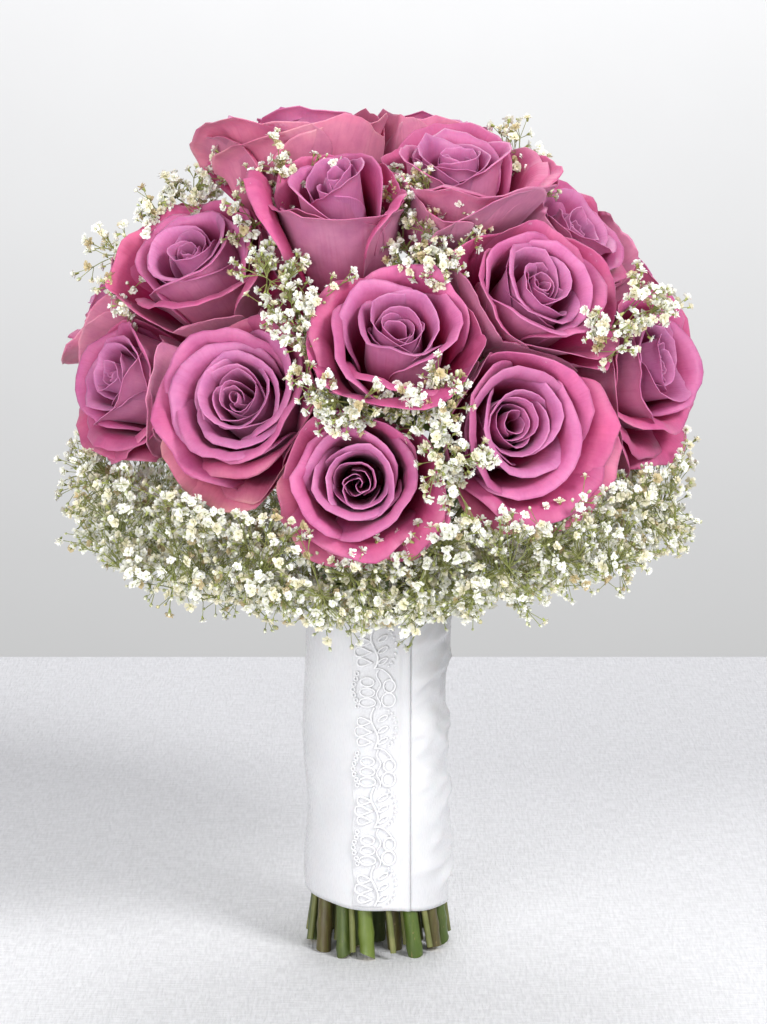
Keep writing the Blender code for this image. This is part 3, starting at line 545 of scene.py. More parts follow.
def net_surface():
    """The fine sheer net that the lace cord is sewn on, as pale as the satin under it."""
    made = Surface("lace_net", 0.42, Sheen_Weight=0.25, Sheen_Roughness=0.3)
    mesh = made.node("TexVoronoi", {"Vector": made.place(), "Scale": 1.3}, feature="DISTANCE_TO_EDGE")
    cells = made.between(mesh.outputs["Distance"], 0.0, 1.0, 0.05, 0.25)
    colour = made.blend((0.70, 0.70, 0.72), (0.63, 0.63, 0.65), cells)
    return made.finish(colour, made.between(cells, 0.5, 0.4), made.bump(cells, -0.12, 0.6))


def cord_surface():
    """Twisted silk cord, and the pearls sewn along it."""
    made = Surface("lace_cord", 0.42, Sheen_Weight=0.3, Specular_IOR_Level=0.6)
    ply = made.noise(made.place(), 2.2, 2)
    colour = made.blend((0.74, 0.74, 0.765), (0.84, 0.84, 0.85), made.between(ply, 0.0, 1.0))
    return made.finish(colour, made.between(ply, 0.34, 0.5), made.bump(ply, 0.12, 0.6))


def tape_surface():
    """Crinkled florist's tape of the binding."""
    made = Surface("binding_tape", 0.6)
    crinkle = made.noise(made.place((1, 1, 3)), 0.5, 4)
    colour = made.blend((0.10, 0.16, 0.06), (0.20, 0.28, 0.12), made.between(crinkle, 0.0, 1.0))
    return made.finish(colour, made.between(crinkle, 0.5, 0.7), made.bump(crinkle, 0.4, 0.8))


def table_surface():
    """Linen: warp and weft threads of uneven thickness, with painted light that makes it paler towards the
    camera and darker towards the back.
    """
    made = Surface("table_linen", 0.8, Specular_IOR_Level=0.2)
    drift = made.noise(made.place((1, 1, 0)), 0.35, 3)
    warp, weft = (made.noise(made.place(stretch), 0.75, 2, 0.6) for stretch in ((1, 0.14, 0), (0.14, 1, 0)))
    weave = made.node("Math", {0: warp, 1: weft}, operation="ADD").outputs[0]
    # Painted light: the cloth's colour goes from pale near the camera to darker at the back, as the light on
    # it falls off
    back = made.between(made.along("Y"), 0.0, 1.0, -200, 300)
    tone = made.blend((0.84, 0.84, 0.865), (0.55, 0.55, 0.572), back)
    threads = made.blend((0.86, 0.86, 0.86), (1.0, 1.0, 1.0), made.between(weave, 0.0, 1.0, 0.8, 1.2))
    tone = made.blend(tone, threads, 1.0, "MULTIPLY")
    colour = made.blend(tone, (0.97, 0.97, 0.97), made.between(drift, 0.0, 1.0), "MULTIPLY")
    return made.finish(colour, made.between(drift, 0.75, 0.9), made.bump(weave, 0.7, 0.9))


def wall_surface():
    """A smooth painted wall, with painted light that makes it a little paler above and darker down by the
    table.
    """
    made = Surface("wall", 0.8, Specular_IOR_Level=0.2)
    plaster = made.noise(made.place(), 0.01, 3)
    # Painted light: the wall's colour is darker low down and paler above, as the light on it would be
    above = made.between(made.along("Z"), 0.0, 1.0, -570, 260)
    tone = made.blend((0.77, 0.77, 0.765), (0.90, 0.90, 0.905), above)
    colour = made.blend(tone, (0.99, 0.99, 0.99), made.between(plaster, 0.0, 1.0), "MULTIPLY")
    return made.finish(colour, made.between(plaster, 0.75, 0.9))


# Roses

def frame_of(flower):
    """A flower's own axes as rows, and its base, where its petals meet the stem."""
    axis = direction(flower["azimuth"], flower["tilt"])
    side = unit(np.cross((0, 0, 1), axis))
    return np.array([side, np.cross(axis, side), axis]), flower["face"] - flower["height"] * axis


def ball_of(flower):
    """The middle and radius of the ball that a flower about fills."""
    axes, _ = frame_of(flower)
    return flower["face"] - BALL_DEPTH * flower["height"] * axes[2], BALL_SHARE * flower["radius"]


def planes_about(index):
    """The planes that part a rose from its neighbours, as the way out and its reach along it."""
    middle, radius = ball_of(ROSES[index])
    planes = []
    for other, flower in enumerate(ROSES):
        if other == index:
            continue
        there, reach = ball_of(flower)
        span = np.linalg.norm(there - middle)
        out = (there - middle) / span
        share = (span**2 + radius**2 - reach**2) / (2 * span)
        if share < 2 * radius:
            planes.append((out, middle @ out + share))
    return planes


def press(points, planes):
    """Presses a flower's points back from its neighbours, softly and then for certain."""
    for _ in range(3):
        for out, reach in planes:
            room = reach - points @ out
            kept = PRESS_ROOM + PRESS_SOFTNESS * np.logaddexp(0, (room - PRESS_ROOM) / PRESS_SOFTNESS)
            points = points - (kept - room)[:, None] * out
    for _ in range(4):
        for out, reach in planes:
            room = reach - points @ out
            points = points - np.maximum(PRESS_ROOM - room, 0)[:, None] * out
    return points


def petal_slopes(t, bend, opened):
    """A petal's slope from upright, in degrees, at shares of the way along it."""
    outer = smooth(t, *OUTER)
    wall = mix(-7, 1 + 8 * opened, t) + outer * 24 * opened
    lip = mix(24, 78 + 34 * opened, smooth(t, 0.12, 0.65)) + outer * 28 * opened + 22 * bend
    curl_at = mix(0.93, 0.88, t) - 0.06 * outer
    return (0, mix(34, 86, t)), (0.26, mix(8, 42, t)), (0.55, wall), (curl_at, wall + 4), (1.0, lip)


def profile(slopes):
    """How far out and up a petal's middle line goes for its share along it, from its smoothed slopes."""
    fine = np.linspace(0, 1, PROFILE_STEPS + 1)
    lean = np.interp(fine, [share for share, _ in slopes], np.radians([slope for _, slope in slopes]))
    window = np.hanning(2 * PROFILE_SMOOTHING + 1)
    lean = np.convolve(np.pad(lean, PROFILE_SMOOTHING, mode="edge"), window / window.sum(), mode="valid")
    step = (lean[:-1] + lean[1:]) / 2
    out = np.concatenate([[0], np.cumsum(np.sin(step)) / PROFILE_STEPS])
    up = np.concatenate([[0], np.cumsum(np.cos(step)) / PROFILE_STEPS])
    return fine, out, up


def petal_size(flower, number, draw, guard):
    """A petal's t, how far it falls open, its angle around the rose, and its radius, width and height."""
    t = max(0.0, 1 - number / (flower["layers"] - 1))
    opened = flower["opened"]
    around = number * GOLDEN_TURN + 0.3 * draw.turn
    reach = flower["size"] * flower["radius"]
    width = PETAL_WIDTH * reach * (1 + 0.08 * draw.width)
    drop = PETAL_DROP + 0.16 * opened
    if guard:
        t, opened, around = 1.0, guard.opened, math.radians(guard.around)
        reach, width, drop = reach * guard.reach, width * guard.wide, guard.drop
    radius = mix(flower["eye"], reach, t ** flower["spread"]) * (1 + 0.08 * draw.girth)
    height = flower["height"] * mix(flower["dome"], 1.0, smooth(t, 0, 0.4))
    height *= (1 - drop * smooth(t, *OUTER)) * (1 + 0.05 * draw.height)
    return t, opened, around, radius, width, height


def petal_grid(t, columns, rows):
    """The shares across and up of a petal's points, closer together towards its edges."""
    up = np.append(np.linspace(0, 0.97, rows - 1) ** 0.8, 1.0)
    across = np.linspace(-1, 1, round(mix(0.75, 1.0, t) * columns))
    return np.meshgrid(np.sin(across * math.pi / 2 * FAN) / math.sin(math.pi / 2 * FAN), up)


def jagged(across, count, rng):
    """A random broken line across a petal."""
    return np.interp(across, np.linspace(-1, 1, count), rng.uniform(-1, 1, count))


def petal_top(t, across, draw, rng):
    """How far up a petal reaches: round shoulders, a point off its middle and a nibbled edge."""
    low = mix(0.66, 0.50, t)
    top = low + (1 - low) * (1 - np.abs(across) ** 2.6) ** 0.5
    top += mix(0.02, 0.13, t) * (0.75 + 0.25 * draw.bend) * np.exp(-np.abs(across - 0.3 * draw.tip) / 0.2)
    nick = 0.010 * np.sin(across * (9 + 3 * draw.tip) + 6 * draw.swell)
    nick += 0.007 * np.sin(across * (23 + 4 * draw.sink) + 6 * draw.nick)
    nick += 0.007 * jagged(across, 31, rng)
    return top + nick * mix(0.7, 1.5, t)


def petal_relief(t, share, across, ruffle, draw, rng):
    """How far a petal's surface stands out and up from its plain curve."""
    out = PETAL_SPIRAL * mix(0.8, 1.4, t) * (1 + 0.4 * draw.spiral) * across * smooth(share, 0.1, 0.6)
    out += PETAL_FLARE * t * np.abs(across) ** 3 * smooth(share, 0.45, 1.0) * (1 + draw.flare)

    # One shoulder folds back more than the other
    shoulder = smooth(across * np.sign(draw.lean), 0.15, 1.0) * smooth(share, 0.5, 1.0)
    shoulder *= 0.6 + 0.4 * draw.flare
    out += mix(0.5, 4.5, t) * shoulder
    up = -mix(0.3, 3.0, t) * shoulder

    # Its face swells and sinks, its edge waves, and a few creases run up it
    swell = np.sin(3.2 * across + 5 * draw.swell) * np.sin(4.5 * share + 5 * draw.sink)
    out += mix(0.1, 0.9, t) * swell * smooth(share, 0.15, 0.5)
    wave = 0.6 * np.sin(across * (5 + 1.5 * draw.long) + 6 * draw.shift)
    wave += 0.4 * np.sin(across * (11 + 2 * draw.short) + 6 * draw.slide)
    wave += 0.5 * jagged(across, 17, rng)
    out += ruffle * mix(0.25, 1.25, t) * wave * smooth(share, 0.5, 1.0)
    ripple = np.cos(across * (7 + draw.long) + 5 * draw.short)
    up += ruffle * 0.6 * mix(0.4, 1.2, t) * ripple * smooth(share, 0.6, 1.0)
    for fold in rng.uniform(-0.8, 0.8, 3):
        depth = mix(0.35, 1.9, t) * rng.uniform(0.2, 1.0)
        out += depth * np.exp(-np.abs(across - fold) / 0.14) * smooth(share, 0.5, 1.0)
    return out, up


def petal(flower, seed, number, guard):
    """The middle surface of a petal, counted from the outside in, in the rose's own axes.

    It gives the points, the petal's t, and each point's share up and across it.
    """
    rng = np.random.default_rng([seed, number])
    draw = Draw(*rng.uniform(-1, 1, len(Draw._fields)))
    t, opened, around, radius, width, height = petal_size(flower, number, draw, guard)
    across, up = petal_grid(t, *flower["grid"])
    start = mix(0.35, 0.0, smooth(t, 0.3, 0.85))
    share = start + (1 - start) * up
    along = share * petal_top(t, across, draw, rng)

    # Near its edge the curl follows the edge, and lower down it follows the height
    fine, out, rise = profile(petal_slopes(t, draw.bend, opened))
    curl = mix(along, share, 0.85 * smooth(share, 0.3, 0.9))
    r = PETAL_NECK + np.interp(curl, fine, out) * (radius - PETAL_NECK) / max(np.interp(0.8, fine, out), 0.08)
    z = np.interp(curl, fine, rise) * height / rise.max() - (curl - along) * height * 0.9
    relief, lift = petal_relief(t, share, across, flower["ruffle"], draw, rng)
    r += relief
    z += lift

    # It wraps round the axis, leans to one side, and near the eye is drawn aside
    half_turn = min(width / (2 * radius), PETAL_HALF_TURN)
    angle = around + across * half_turn * (1 - 0.25 * (1 - smooth(share, 0.0, 0.45)))
    points = np.stack([r * np.cos(angle), r * np.sin(angle), z], -1)
    lean = math.tan(math.radians(PETAL_LEAN * mix(0.4, 1.0, t) * draw.lean))
    points[..., :2] += points[..., 2:] * lean * np.array([math.cos(around + 1.0), math.sin(around + 1.0)])
    points[..., :2] += (1 - t) * smooth(share, 0.2, 1.0)[..., None] * np.array(flower["swirl"])
    return points, t, share, across


def thin_sheet(points, thickness):
    """A closed thin blade about a grid of points: its points and its faces."""
    rows, columns, _ = points.shape
    normal = unit(np.cross(np.gradient(points, axis=1), np.gradient(points, axis=0)))
    index = np.arange(rows * columns).reshape(rows, columns)
    front = np.stack([index[:-1, :-1], index[:-1, 1:], index[1:, 1:], index[1:, :-1]], -1).reshape(-1, 4)
    behind = rows * columns
    loop = np.concatenate([index[0, :], index[1:, -1], index[-1, :-1][::-1], index[1:-1, 0][::-1]])
    after = np.roll(loop, -1)
    rim = np.stack([after, loop, loop + behind, after + behind], -1)
    both = np.concatenate([(points + normal * thickness / 2).reshape(-1, 3),
                           (points - normal * thickness / 2).reshape(-1, 3)])
    return both, np.concatenate([front, front[:, ::-1] + behind, rim])


def petal_tint(flower, t, share, across, seed, number, guard):
    """Colours over a petal's outer and inner face: deep magenta below, partly its own colour and partly
    painted shade of the rose's hollows, mauve above, and a pale rim.
    """
    warmer, brighter, along_edge = np.random.default_rng([seed, number, 1]).uniform(-1, 1, 3)
    body = mix(BODY, MAUVE, smooth(1 - t, 0.0, 0.6))
    outside = mix(body, OUTSIDE, 0.75 * smooth(t, 0.3, 0.9))
    warmth = guard.warm if guard else flower["warm"] * smooth(t, 0.7, 1.0) * (0.6 + 0.4 * warmer)
    edge = smooth(share, 0.95, 1.0) * (0.5 + 0.5 * np.sin(9 * across + 6 * along_edge))
    faces = []
    for face, low, high in ((outside, mix(0.4, 0.1, t), mix(0.98, 0.8, t)), (body, 0.50, 1.04)):
        face = mix(face, WARM, warmth)
        # Towards its foot a petal goes to deep magenta, partly its own colour and partly painted shade,
        # reaching higher on the inner face that lines the hollows
        colour = mix(DEEP_AND_SHADE, face, smooth(share, low, high)[..., None]) * (1 + 0.08 * brighter)
        colour = mix(colour, mix(RIM, WORN_RIM, warmth), mix(0.18, 0.65, warmth) * edge[..., None])
        faces.append(colour.reshape(-1, 3))
    return np.concatenate(faces)


def rose_head(index, surface):
    """A rose of single petals, pressed against its neighbours as its solid is."""
    flower = ROSES[index]
    axes, base = frame_of(flower)
    planes = planes_about(index)
    whorl = [(number, None) for number in range(flower["layers"])]
    whorl += enumerate(flower["guards"], start=GUARD_SEED)
    shape = Shape()
    for number, guard in whorl:
        local, t, share, across = petal(flower, index, number, guard)
        placed = press(base + local.reshape(-1, 3) @ axes, planes).reshape(local.shape)
        points, faces = thin_sheet(placed, PETAL_THICKNESS)
        tint = petal_tint(flower, t, share, across, index, number, guard)
        spot = np.stack([across.ravel() + number, share.ravel()], -1)
        shape.add(points, faces, tint, spot=np.concatenate([spot, spot]))
    node = f"rose_bloom_{index + 1:02d}"
    shape.as_object(node + "_petals", [surface], node)


# Tubes and stalks

def tube(path, radii, sides):
    """A round tube along a path: its points and its faces."""
    path = np.asarray(path, float)
    ways = unit(np.gradient(path, axis=0))
    angles = np.arange(sides) * 2 * math.pi / sides
    side = np.cross(ways[0], (0.3, 0.9, 0.1))
    rings = []
    for point, way, radius in zip(path, ways, radii):
        side = unit(side - way * (side @ way))
        circle = np.outer(np.cos(angles), side) + np.outer(np.sin(angles), np.cross(way, side))
        rings.append(point + radius * circle)
    return np.concatenate(rings), ring_quads(len(path), sides)


def stalks(starts, ends, bows, radius, sides=3, rings=2):
    """Many thin stalks at once, each bowed aside by its own vector."""
    way = unit(ends - starts)
    side = unit(np.cross(way, (0.31, 0.52, 0.79)))
    other = np.cross(way, side)
    points = []
    for u in np.linspace(0, 1, rings):
        middle = mix(starts, ends, u) + math.sin(math.pi * u) * bows
        for k in range(sides):
            angle = 2 * math.pi * k / sides
            points.append(middle + radius * (math.cos(angle) * side + math.sin(angle) * other))
    steps = np.arange(len(starts))[:, None, None] * rings * sides
    return np.stack(points, 1).reshape(-1, 3), (ring_quads(rings, sides)[None] + steps).reshape(-1, 4)


def edges_of(node):
    """A CAD node's edges as their two ends, in millimetres."""
    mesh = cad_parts[node].data
    points = np.zeros(len(mesh.vertices) * 3)
    mesh.vertices.foreach_get("co", points)
    points = points.reshape(-1, 3) / MM
    ends = np.zeros(len(mesh.edges) * 2, np.int32)
    mesh.edges.foreach_get("vertices", ends)
    ends = ends.reshape(-1, 2)
    return points[ends[:, 0]], points[ends[:, 1]]


def slice_middle(edges, height, near):
    """The middle of a CAD tube at a height, close to a point."""
    a, b = edges
    low, high = np.minimum(a[:, 2], b[:, 2]), np.maximum(a[:, 2], b[:, 2])
    cross = (low < height) & (high >= height)
    if not cross.any():
        return None
    a, b = a[cross], b[cross]
    share = (height - a[:, 2]) / (b[:, 2] - a[:, 2])
    points = a + (b - a) * share[:, None]
    for reach in SLICE_REACH:
        close = points[np.linalg.norm(points - near, axis=1) < reach]
        if len(close) < 3:
            return None
        near = (close.min(0) + close.max(0)) / 2
    return near


def levels_to(top, levels, step):
    """Set heights, and then one each step, to below a top."""
    return [*levels, *np.arange(levels[-1] + step, top, step)]


def centre_line(node, heights):
    """The middle line of a stem's solid, from its cut end up."""
    edges = edges_of(node)
    foot = np.concatenate(edges)
    foot = foot[foot[:, 2] < foot[:, 2].min() + 3]
    near = (foot.min(0) + foot.max(0)) / 2
    found = [near * (1, 1, 0) + (0, 0, foot[:, 2].min())]
    for height in heights:
        middle = slice_middle(edges, height, near + (0, 0, height - near[2]))
        if middle is None:
            break
        found.append(middle)
        near = middle
    return found


def cut_foot(points, rng):
    """Slants a stem's lowest ring, which keeps its lowest point on the table, and gives the ring."""
    slant = rng.uniform(-0.5, 0.5, 2)
    foot = points[:STEM_SIDES]
    lift = (foot[:, :2] - foot[:, :2].mean(0)) @ slant
    foot[:, 2] = lift - lift.min()
    return foot


def sepal(number, axes, base, rng):
    """A sepal, folded back under the petals."""
    turn = number * 2 * math.pi / SEPALS + rng.uniform(-0.2, 0.2)
    out = math.cos(turn) * axes[0] + math.sin(turn) * axes[1]
    side = np.cross(axes[2], out)
    share = np.linspace(0, 1, 6)[:, None, None]
    wide = np.array([-1, 0, 1])[None, :, None]
    spine = base + out * (3 + 15 * share) + axes[2] * (-2.5 + 2 * share - 7 * share**2)
    taper = SEPAL_HALF_WIDTH * np.sin(math.pi * (0.15 + 0.85 * share))
    return thin_sheet(spine + side * wide * taper + axes[2] * 0.6 * abs(wide), SEPAL_THICKNESS)


def rose_stem(index, bark, cut):
    """A cut stem with a knot, its receptacle and its sepals."""
    axes, base = frame_of(ROSES[index])
    node = f"rose_stem_{index + 1:02d}"
    rng = np.random.default_rng([21, index])
    throat = base - THROAT * axes[2]
    heights = levels_to(throat[2] - 4, STEM_LEVELS, STEM_STEP)
    way = centre_line(node, heights) + [throat, base - GAP * axes[2]]
    radii = [STEM_RADIUS] * (len(way) - 2) + list(STEM_TOP_RADII)
    radii[rng.integers(1, 4)] *= KNOT_SWELL
    points, faces = tube(way, radii, STEM_SIDES)
    foot = cut_foot(points, rng)
    shape = Shape()
    shape.add(points, faces, STEM_BROWN if index in BROWN_STEMS else STEM_GREENS[index % len(STEM_GREENS)])
    wood = [((k + 1) % STEM_SIDES, k, STEM_SIDES) for k in range(STEM_SIDES)]
    shape.add([*foot, foot.mean(0) + (0, 0, 0.2)], wood, CUT_WOOD, slot=1)
    for number in range(SEPALS):
        shape.add(*sepal(number, axes, base, rng), PALE_GREEN)
    shape.as_object(node + "_stalk", [bark, cut], node)


# Gypsophila

def floret_template(rng):
    """A double floret of narrow petals over its calyx.

    It gives the points, the quads, how far out along its petal each point is, and how many quads are petals.
    """
    points, share = [], []
    for whorl, (count, length, lift, wide) in enumerate(FLORET_WHORLS):
        for k in range(count):
            turn = 2 * math.pi * (k + 0.5 * whorl) / count + rng.uniform(-0.2, 0.2)
            reach = length * rng.uniform(0.75, 1.12)
            rise = lift + rng.uniform(-0.25, 0.25)
            out = np.array([math.cos(turn), math.sin(turn), 0])
            side = np.array([-math.sin(turn), math.cos(turn), 0])
            for along, aside in FLORET_PETAL:
                height = rise * along**1.5 + 0.12 * abs(aside)
                points.append(out * along * reach + side * aside * wide + (0, 0, height))
                share.append(along)
    petals = np.arange(len(points)).reshape(-1, 4)
    calyx = rings_of(CALYX, 3)
    faces = np.concatenate([petals, ring_quads(len(CALYX), 3) + len(points)])
    return np.concatenate([points, calyx]), faces, np.append(share, np.zeros(len(calyx))), len(petals)


def turned(template, places, ways, sizes, rng):
    """Copies of a template at places, each facing its own way with a random turn."""
    ways = unit(ways)
    side = unit(np.cross(ways, rng.normal(size=ways.shape)))
    axes = np.stack([side, np.cross(ways, side), ways], 1)
    return places[:, None] + sizes[:, None, None] * np.einsum("ki,nij->nkj", template, axes)


def add_copies(shape, copies, faces, petals, colours):
    """Adds copies of a template, whose first faces are petals and whose others are green."""
    steps = np.arange(len(copies))[:, None, None] * copies.shape[1]
    paper, green = ((part[None] + steps).reshape(-1, 4) for part in (faces[:petals], faces[petals:]))
    slots = np.repeat([0, 1], [len(paper), len(green)])
    shape.add(copies, np.concatenate([paper, green]), colours.reshape(-1, 3), slot=slots)


def add_florets(shape, heads, ways, rng, buds=0.22):
    """Florets and buds at the ends of their stalks."""
    kinds = rng.uniform(size=(len(heads), 1))
    is_bud = rng.uniform(size=len(heads)) < buds
    tints = np.where(kinds < WHITE_UP_TO, WHITE, np.where(kinds < CREAM_UP_TO, CREAM, TAN))
    tints = tints * rng.uniform(0.9, 1.06, (len(heads), 1))
    sizes = FLORET_RADIUS * rng.uniform(0.72, 1.12, len(heads))
    for kind in range(FLORET_KINDS):
        here = np.flatnonzero(~is_bud & (np.arange(len(heads)) % FLORET_KINDS == kind))
        if not len(here):
            continue
        points, faces, share, petals = floret_template(np.random.default_rng([5, kind]))
        copies = turned(points, heads[here], ways[here], sizes[here], rng)
        pale = tints[here][:, None]
        petal_colour = mix(pale * (0.82, 0.84, 0.62), pale, smooth(share, 0.0, 0.6)[None, :, None])
        colours = np.where(share[None, :, None] > 0, petal_colour, TWIG_GREEN * 1.7)
        add_copies(shape, copies, faces, petals, colours)
    here = np.flatnonzero(is_bud)
    if len(here):
        points, faces = rings_of(BUD, 4), ring_quads(len(BUD), 4)
        copies = turned(points, heads[here], ways[here], sizes[here] * rng.uniform(0.7, 1.0, len(here)), rng)
        upper = (points[:, 2] > 0)[None, :, None]
        colours = np.where(upper, mix(tints[here], BUD_GREEN, 0.35)[:, None], BUD_GREEN * 0.7)
        add_copies(shape, copies, faces, len(faces), colours)


def add_cymes(shape, arms, centres, rng, spread):
    """Branchlets from the nearest arm to each cluster, and a stalk for each of its flowers.

    It gives the flowers' places and the ways they face.
    """
    joints = np.concatenate(arms)
    starts, ends, heads, roots = [], [], [], []
    for centre in centres:
        gaps = np.linalg.norm(joints - centre, axis=1)
        gaps += 0.8 * np.maximum(0, 8 - gaps)
        start = joints[gaps.argmin()]
        fork = centre - unit(centre - start) * spread * 0.9
        starts.append(start)
        ends.append(fork)
        for _ in range(rng.poisson(CYME - 1) + 1):
            offset = rng.normal(size=3)
            offset *= spread * rng.uniform(0.35, 1.0) / np.linalg.norm(offset)
            heads.append(centre + offset)
            roots.append(fork)
    starts, ends, heads, roots = (np.array(a) for a in (starts, ends, heads, roots))
    bows = rng.normal(size=starts.shape) * 0.05 * np.linalg.norm(ends - starts, axis=1)[:, None]
    shape.add(*stalks(starts, ends, bows, STALK_RADIUS * 1.4, rings=4), TWIG_GREEN * 1.1, slot=1)
    bows = rng.normal(size=roots.shape) * 0.10 * np.linalg.norm(heads - roots, axis=1)[:, None]
    shape.add(*stalks(roots, heads, bows, STALK_RADIUS), TWIG_GREEN * 1.3, slot=1)
    return heads, unit(heads - roots) + 0.35 * rng.normal(size=heads.shape)


def clear_of_roses(points):
    """Which points lie outside all the rose heads, with room to spare."""
    free = np.ones(len(points), bool)
    for flower in ROSES:
        middle, radius = ball_of(flower)
        free &= np.linalg.norm(points - middle, axis=1) > COLLAR_CLEAR * radius
    return free


def outside_roses(points, share=0.98):
    """The points, with those inside a rose head pushed out of it."""
    for _ in range(3):
        for flower in ROSES:
            middle, radius = ball_of(flower)
            way = points - middle
            span = np.linalg.norm(way, axis=1, keepdims=True)
            points = np.where(span < share * radius, middle + way / span * share * radius, points)
    return points


def sideways(azimuth):
    """0 at the front and the back, and 1 at the sides."""
    return np.abs(np.sin(np.radians(azimuth)))


def bed_edge(azimuth):
    """How far the collar's dense part reaches: less at the front and back than at the sides."""
    return mix(BED_OUT_FRONT, BED_OUT_SIDE, sideways(azimuth))


def bed_height(reach):
    """The height of the collar's middle at a distance from the handle's axis."""
    return BED_Z + BED_SLOPE * (reach - BED_IN)


def collar_headings():
    """Each collar spray's azimuth, and the azimuths halfway to its neighbours."""
    slots = [*OUTER_SLOTS, OUTER_SLOTS[0] + 360]
    middles = [(slots[gap] + slots[gap + 1]) / 2 + TWIST for gap in COLLAR_GAPS]
    ring = [middles[-1] - 360, *middles, middles[0] + 360]
    return [(heading, (before + heading) / 2, (heading + after) / 2)
            for before, heading, after in zip(ring, middles, ring[2:])]


def collar_arms(leave, heading, left, right, rng):
    """The arms of a collar spray, which fan out from where its stem leaves the wrap."""
    side = sideways(heading)
    share = np.linspace(0, 1, ARM_POINTS)[:, None]
    arms = []
    spans = max(2, round((right - left) / ARM_STEP))
    for k in range(spans):
        azimuth = mix(left, right, (k + 0.5) / spans) + rng.uniform(-3, 3)
        reach = bed_edge(azimuth) + mix(*COLLAR_REACH, side) * rng.uniform(0.2, 0.8)
        level = rng.uniform(-0.9, 1.0)
        rise = bed_height(reach) + level * mix(10, 22, side) - leave[2]
        arm = mix(leave, reach * direction(azimuth), share)
        arm[:, 2] = leave[2] + (rise * (0.75 * share + 0.25 * share**3))[:, 0]
        arm[:, 2] += 4 * np.sin(math.pi * share[:, 0]) * level
        arm[1:] += rng.normal(size=(ARM_POINTS - 1, 3)) * 1.2
        arms.append(arm)
    return arms


def collar_centres(left, right, rng):
    """The middles of a collar spray's clusters, dense towards the rim and the top and bottom of the bed."""
    count = round(COLLAR_DENSITY * (right - left) / CYME)
    azimuths = rng.uniform(left, right, count)
    sides = sideways(azimuths)
    out = rng.uniform(size=count) ** 0.45
    reach = mix(34, bed_edge(azimuths) + mix(*COLLAR_REACH, sides), out)
    level = rng.uniform(-1, 1, count)
    level = np.sign(level) * np.abs(level) ** 0.7
    half = mix(7, np.where(level > 0, mix(15, 26, sides), mix(17, 12, sides)), smooth(out, 0.1, 0.9))
    height = bed_height(reach) + level * half + mix(0, 3, sides)
    height -= 5 * smooth(out, 0.75, 1.0) * (level < 0)
    centres = np.array([r * direction(a) + (0, 0, z) for r, a, z in zip(reach, azimuths, height)])
    return centres[clear_of_roses(centres)]


def collar_spray(number, heading, left, right, surfaces):
    """A spray under the outer roses: arms that fan out from the handle, dense with florets."""
    node = f"gypsophila_{number:02d}"
    rng = np.random.default_rng([31, number])
    way = centre_line(node, COLLAR_LEVELS)
    shape = Shape()
    # Painted shade: the spray's main stem is a darker green, so that the inside of the bunch reads dark
    shape.add(*tube(way, [SPRAY_RADIUS] * len(way), 6), TWIG_GREEN * 0.6, slot=1)
    arms = collar_arms(way[-1], heading, left, right, rng)
    for arm in arms:
        radii = np.linspace(ARM_RADIUS * 1.3, ARM_RADIUS * 0.45, ARM_POINTS)
        shape.add(*tube(arm, radii, 4), TWIG_GREEN, slot=1)
    centres = collar_centres(left, right, rng)
    hanging = rng.uniform(size=len(centres)) < HANGING_SHARE
    sag = np.column_stack([np.zeros((hanging.sum(), 2)), rng.uniform(5, 13, hanging.sum())])
    low = centres[hanging] - sag

    # Branchlets start a quarter of an arm's step apart, but not close to the handle
    quarters = np.linspace(0, 1, 4, endpoint=False)[:, None]
    joints = [mix(arm[:-1, None], arm[1:, None], quarters).reshape(-1, 3)[7:] for arm in arms]
    add_florets(shape, *add_cymes(shape, joints, centres, rng, COLLAR_CYME_SPREAD), rng)
    low = low[low[:, 2] < bed_height(np.linalg.norm(low[:, :2], axis=1))]
    add_florets(shape, *add_cymes(shape, joints, low, rng, HANGING_SPREAD), rng, buds=0.75)
    shape.as_object(node + "_flowers", surfaces, node)


def fill_spray(number, middle, clumps, surfaces):
    """A spray that comes up between the roses and fills their gaps with clumps of florets."""
    node = f"gypsophila_{number:02d}"
    rng = np.random.default_rng([32, number])
    way = centre_line(node, levels_to(middle[2] - 16, FILL_LEVELS, FILL_STEP))
    shape = Shape()
    # Painted shade: the spray's main stem is a darker green, so that the inside of the bunch reads dark
    shape.add(*tube(way, np.linspace(SPRAY_RADIUS, ARM_RADIUS, len(way)), 5), TWIG_GREEN * 0.6, slot=1)
    arms = []
    for clump in clumps:
        root = way[-1]
        if clump[2] < middle[2] - LOW_BRANCH:
            root = min(way, key=lambda place: abs(place[2] - clump[2] + LOW_BRANCH / 2))
        share = np.linspace(0, 1, FILL_ARM_POINTS)[:, None]
        sunk = clump + 7 * unit(middle - clump + (0, 0, -20))
        arm = mix(root, sunk, share) + np.sin(math.pi * share) * rng.normal(size=3) * 2
        arms.append(arm)
        radii = np.linspace(ARM_RADIUS, ARM_RADIUS * 0.5, FILL_ARM_POINTS)
        shape.add(*tube(arm, radii, 4), TWIG_GREEN, slot=1)
    centres = np.repeat(clumps, CLUMP_CYMES, axis=0)
    centres = outside_roses(centres + rng.normal(size=centres.shape) * CLUMP_SPREAD)
    heads, ways = add_cymes(shape, [arm[2:] for arm in arms], centres, rng, CLUMP_CYME_SPREAD)
    add_florets(shape, outside_roses(heads, 0.93), ways, rng, buds=0.15)
    shape.as_object(node + "_flowers", surfaces, node)


# Wrap and lace

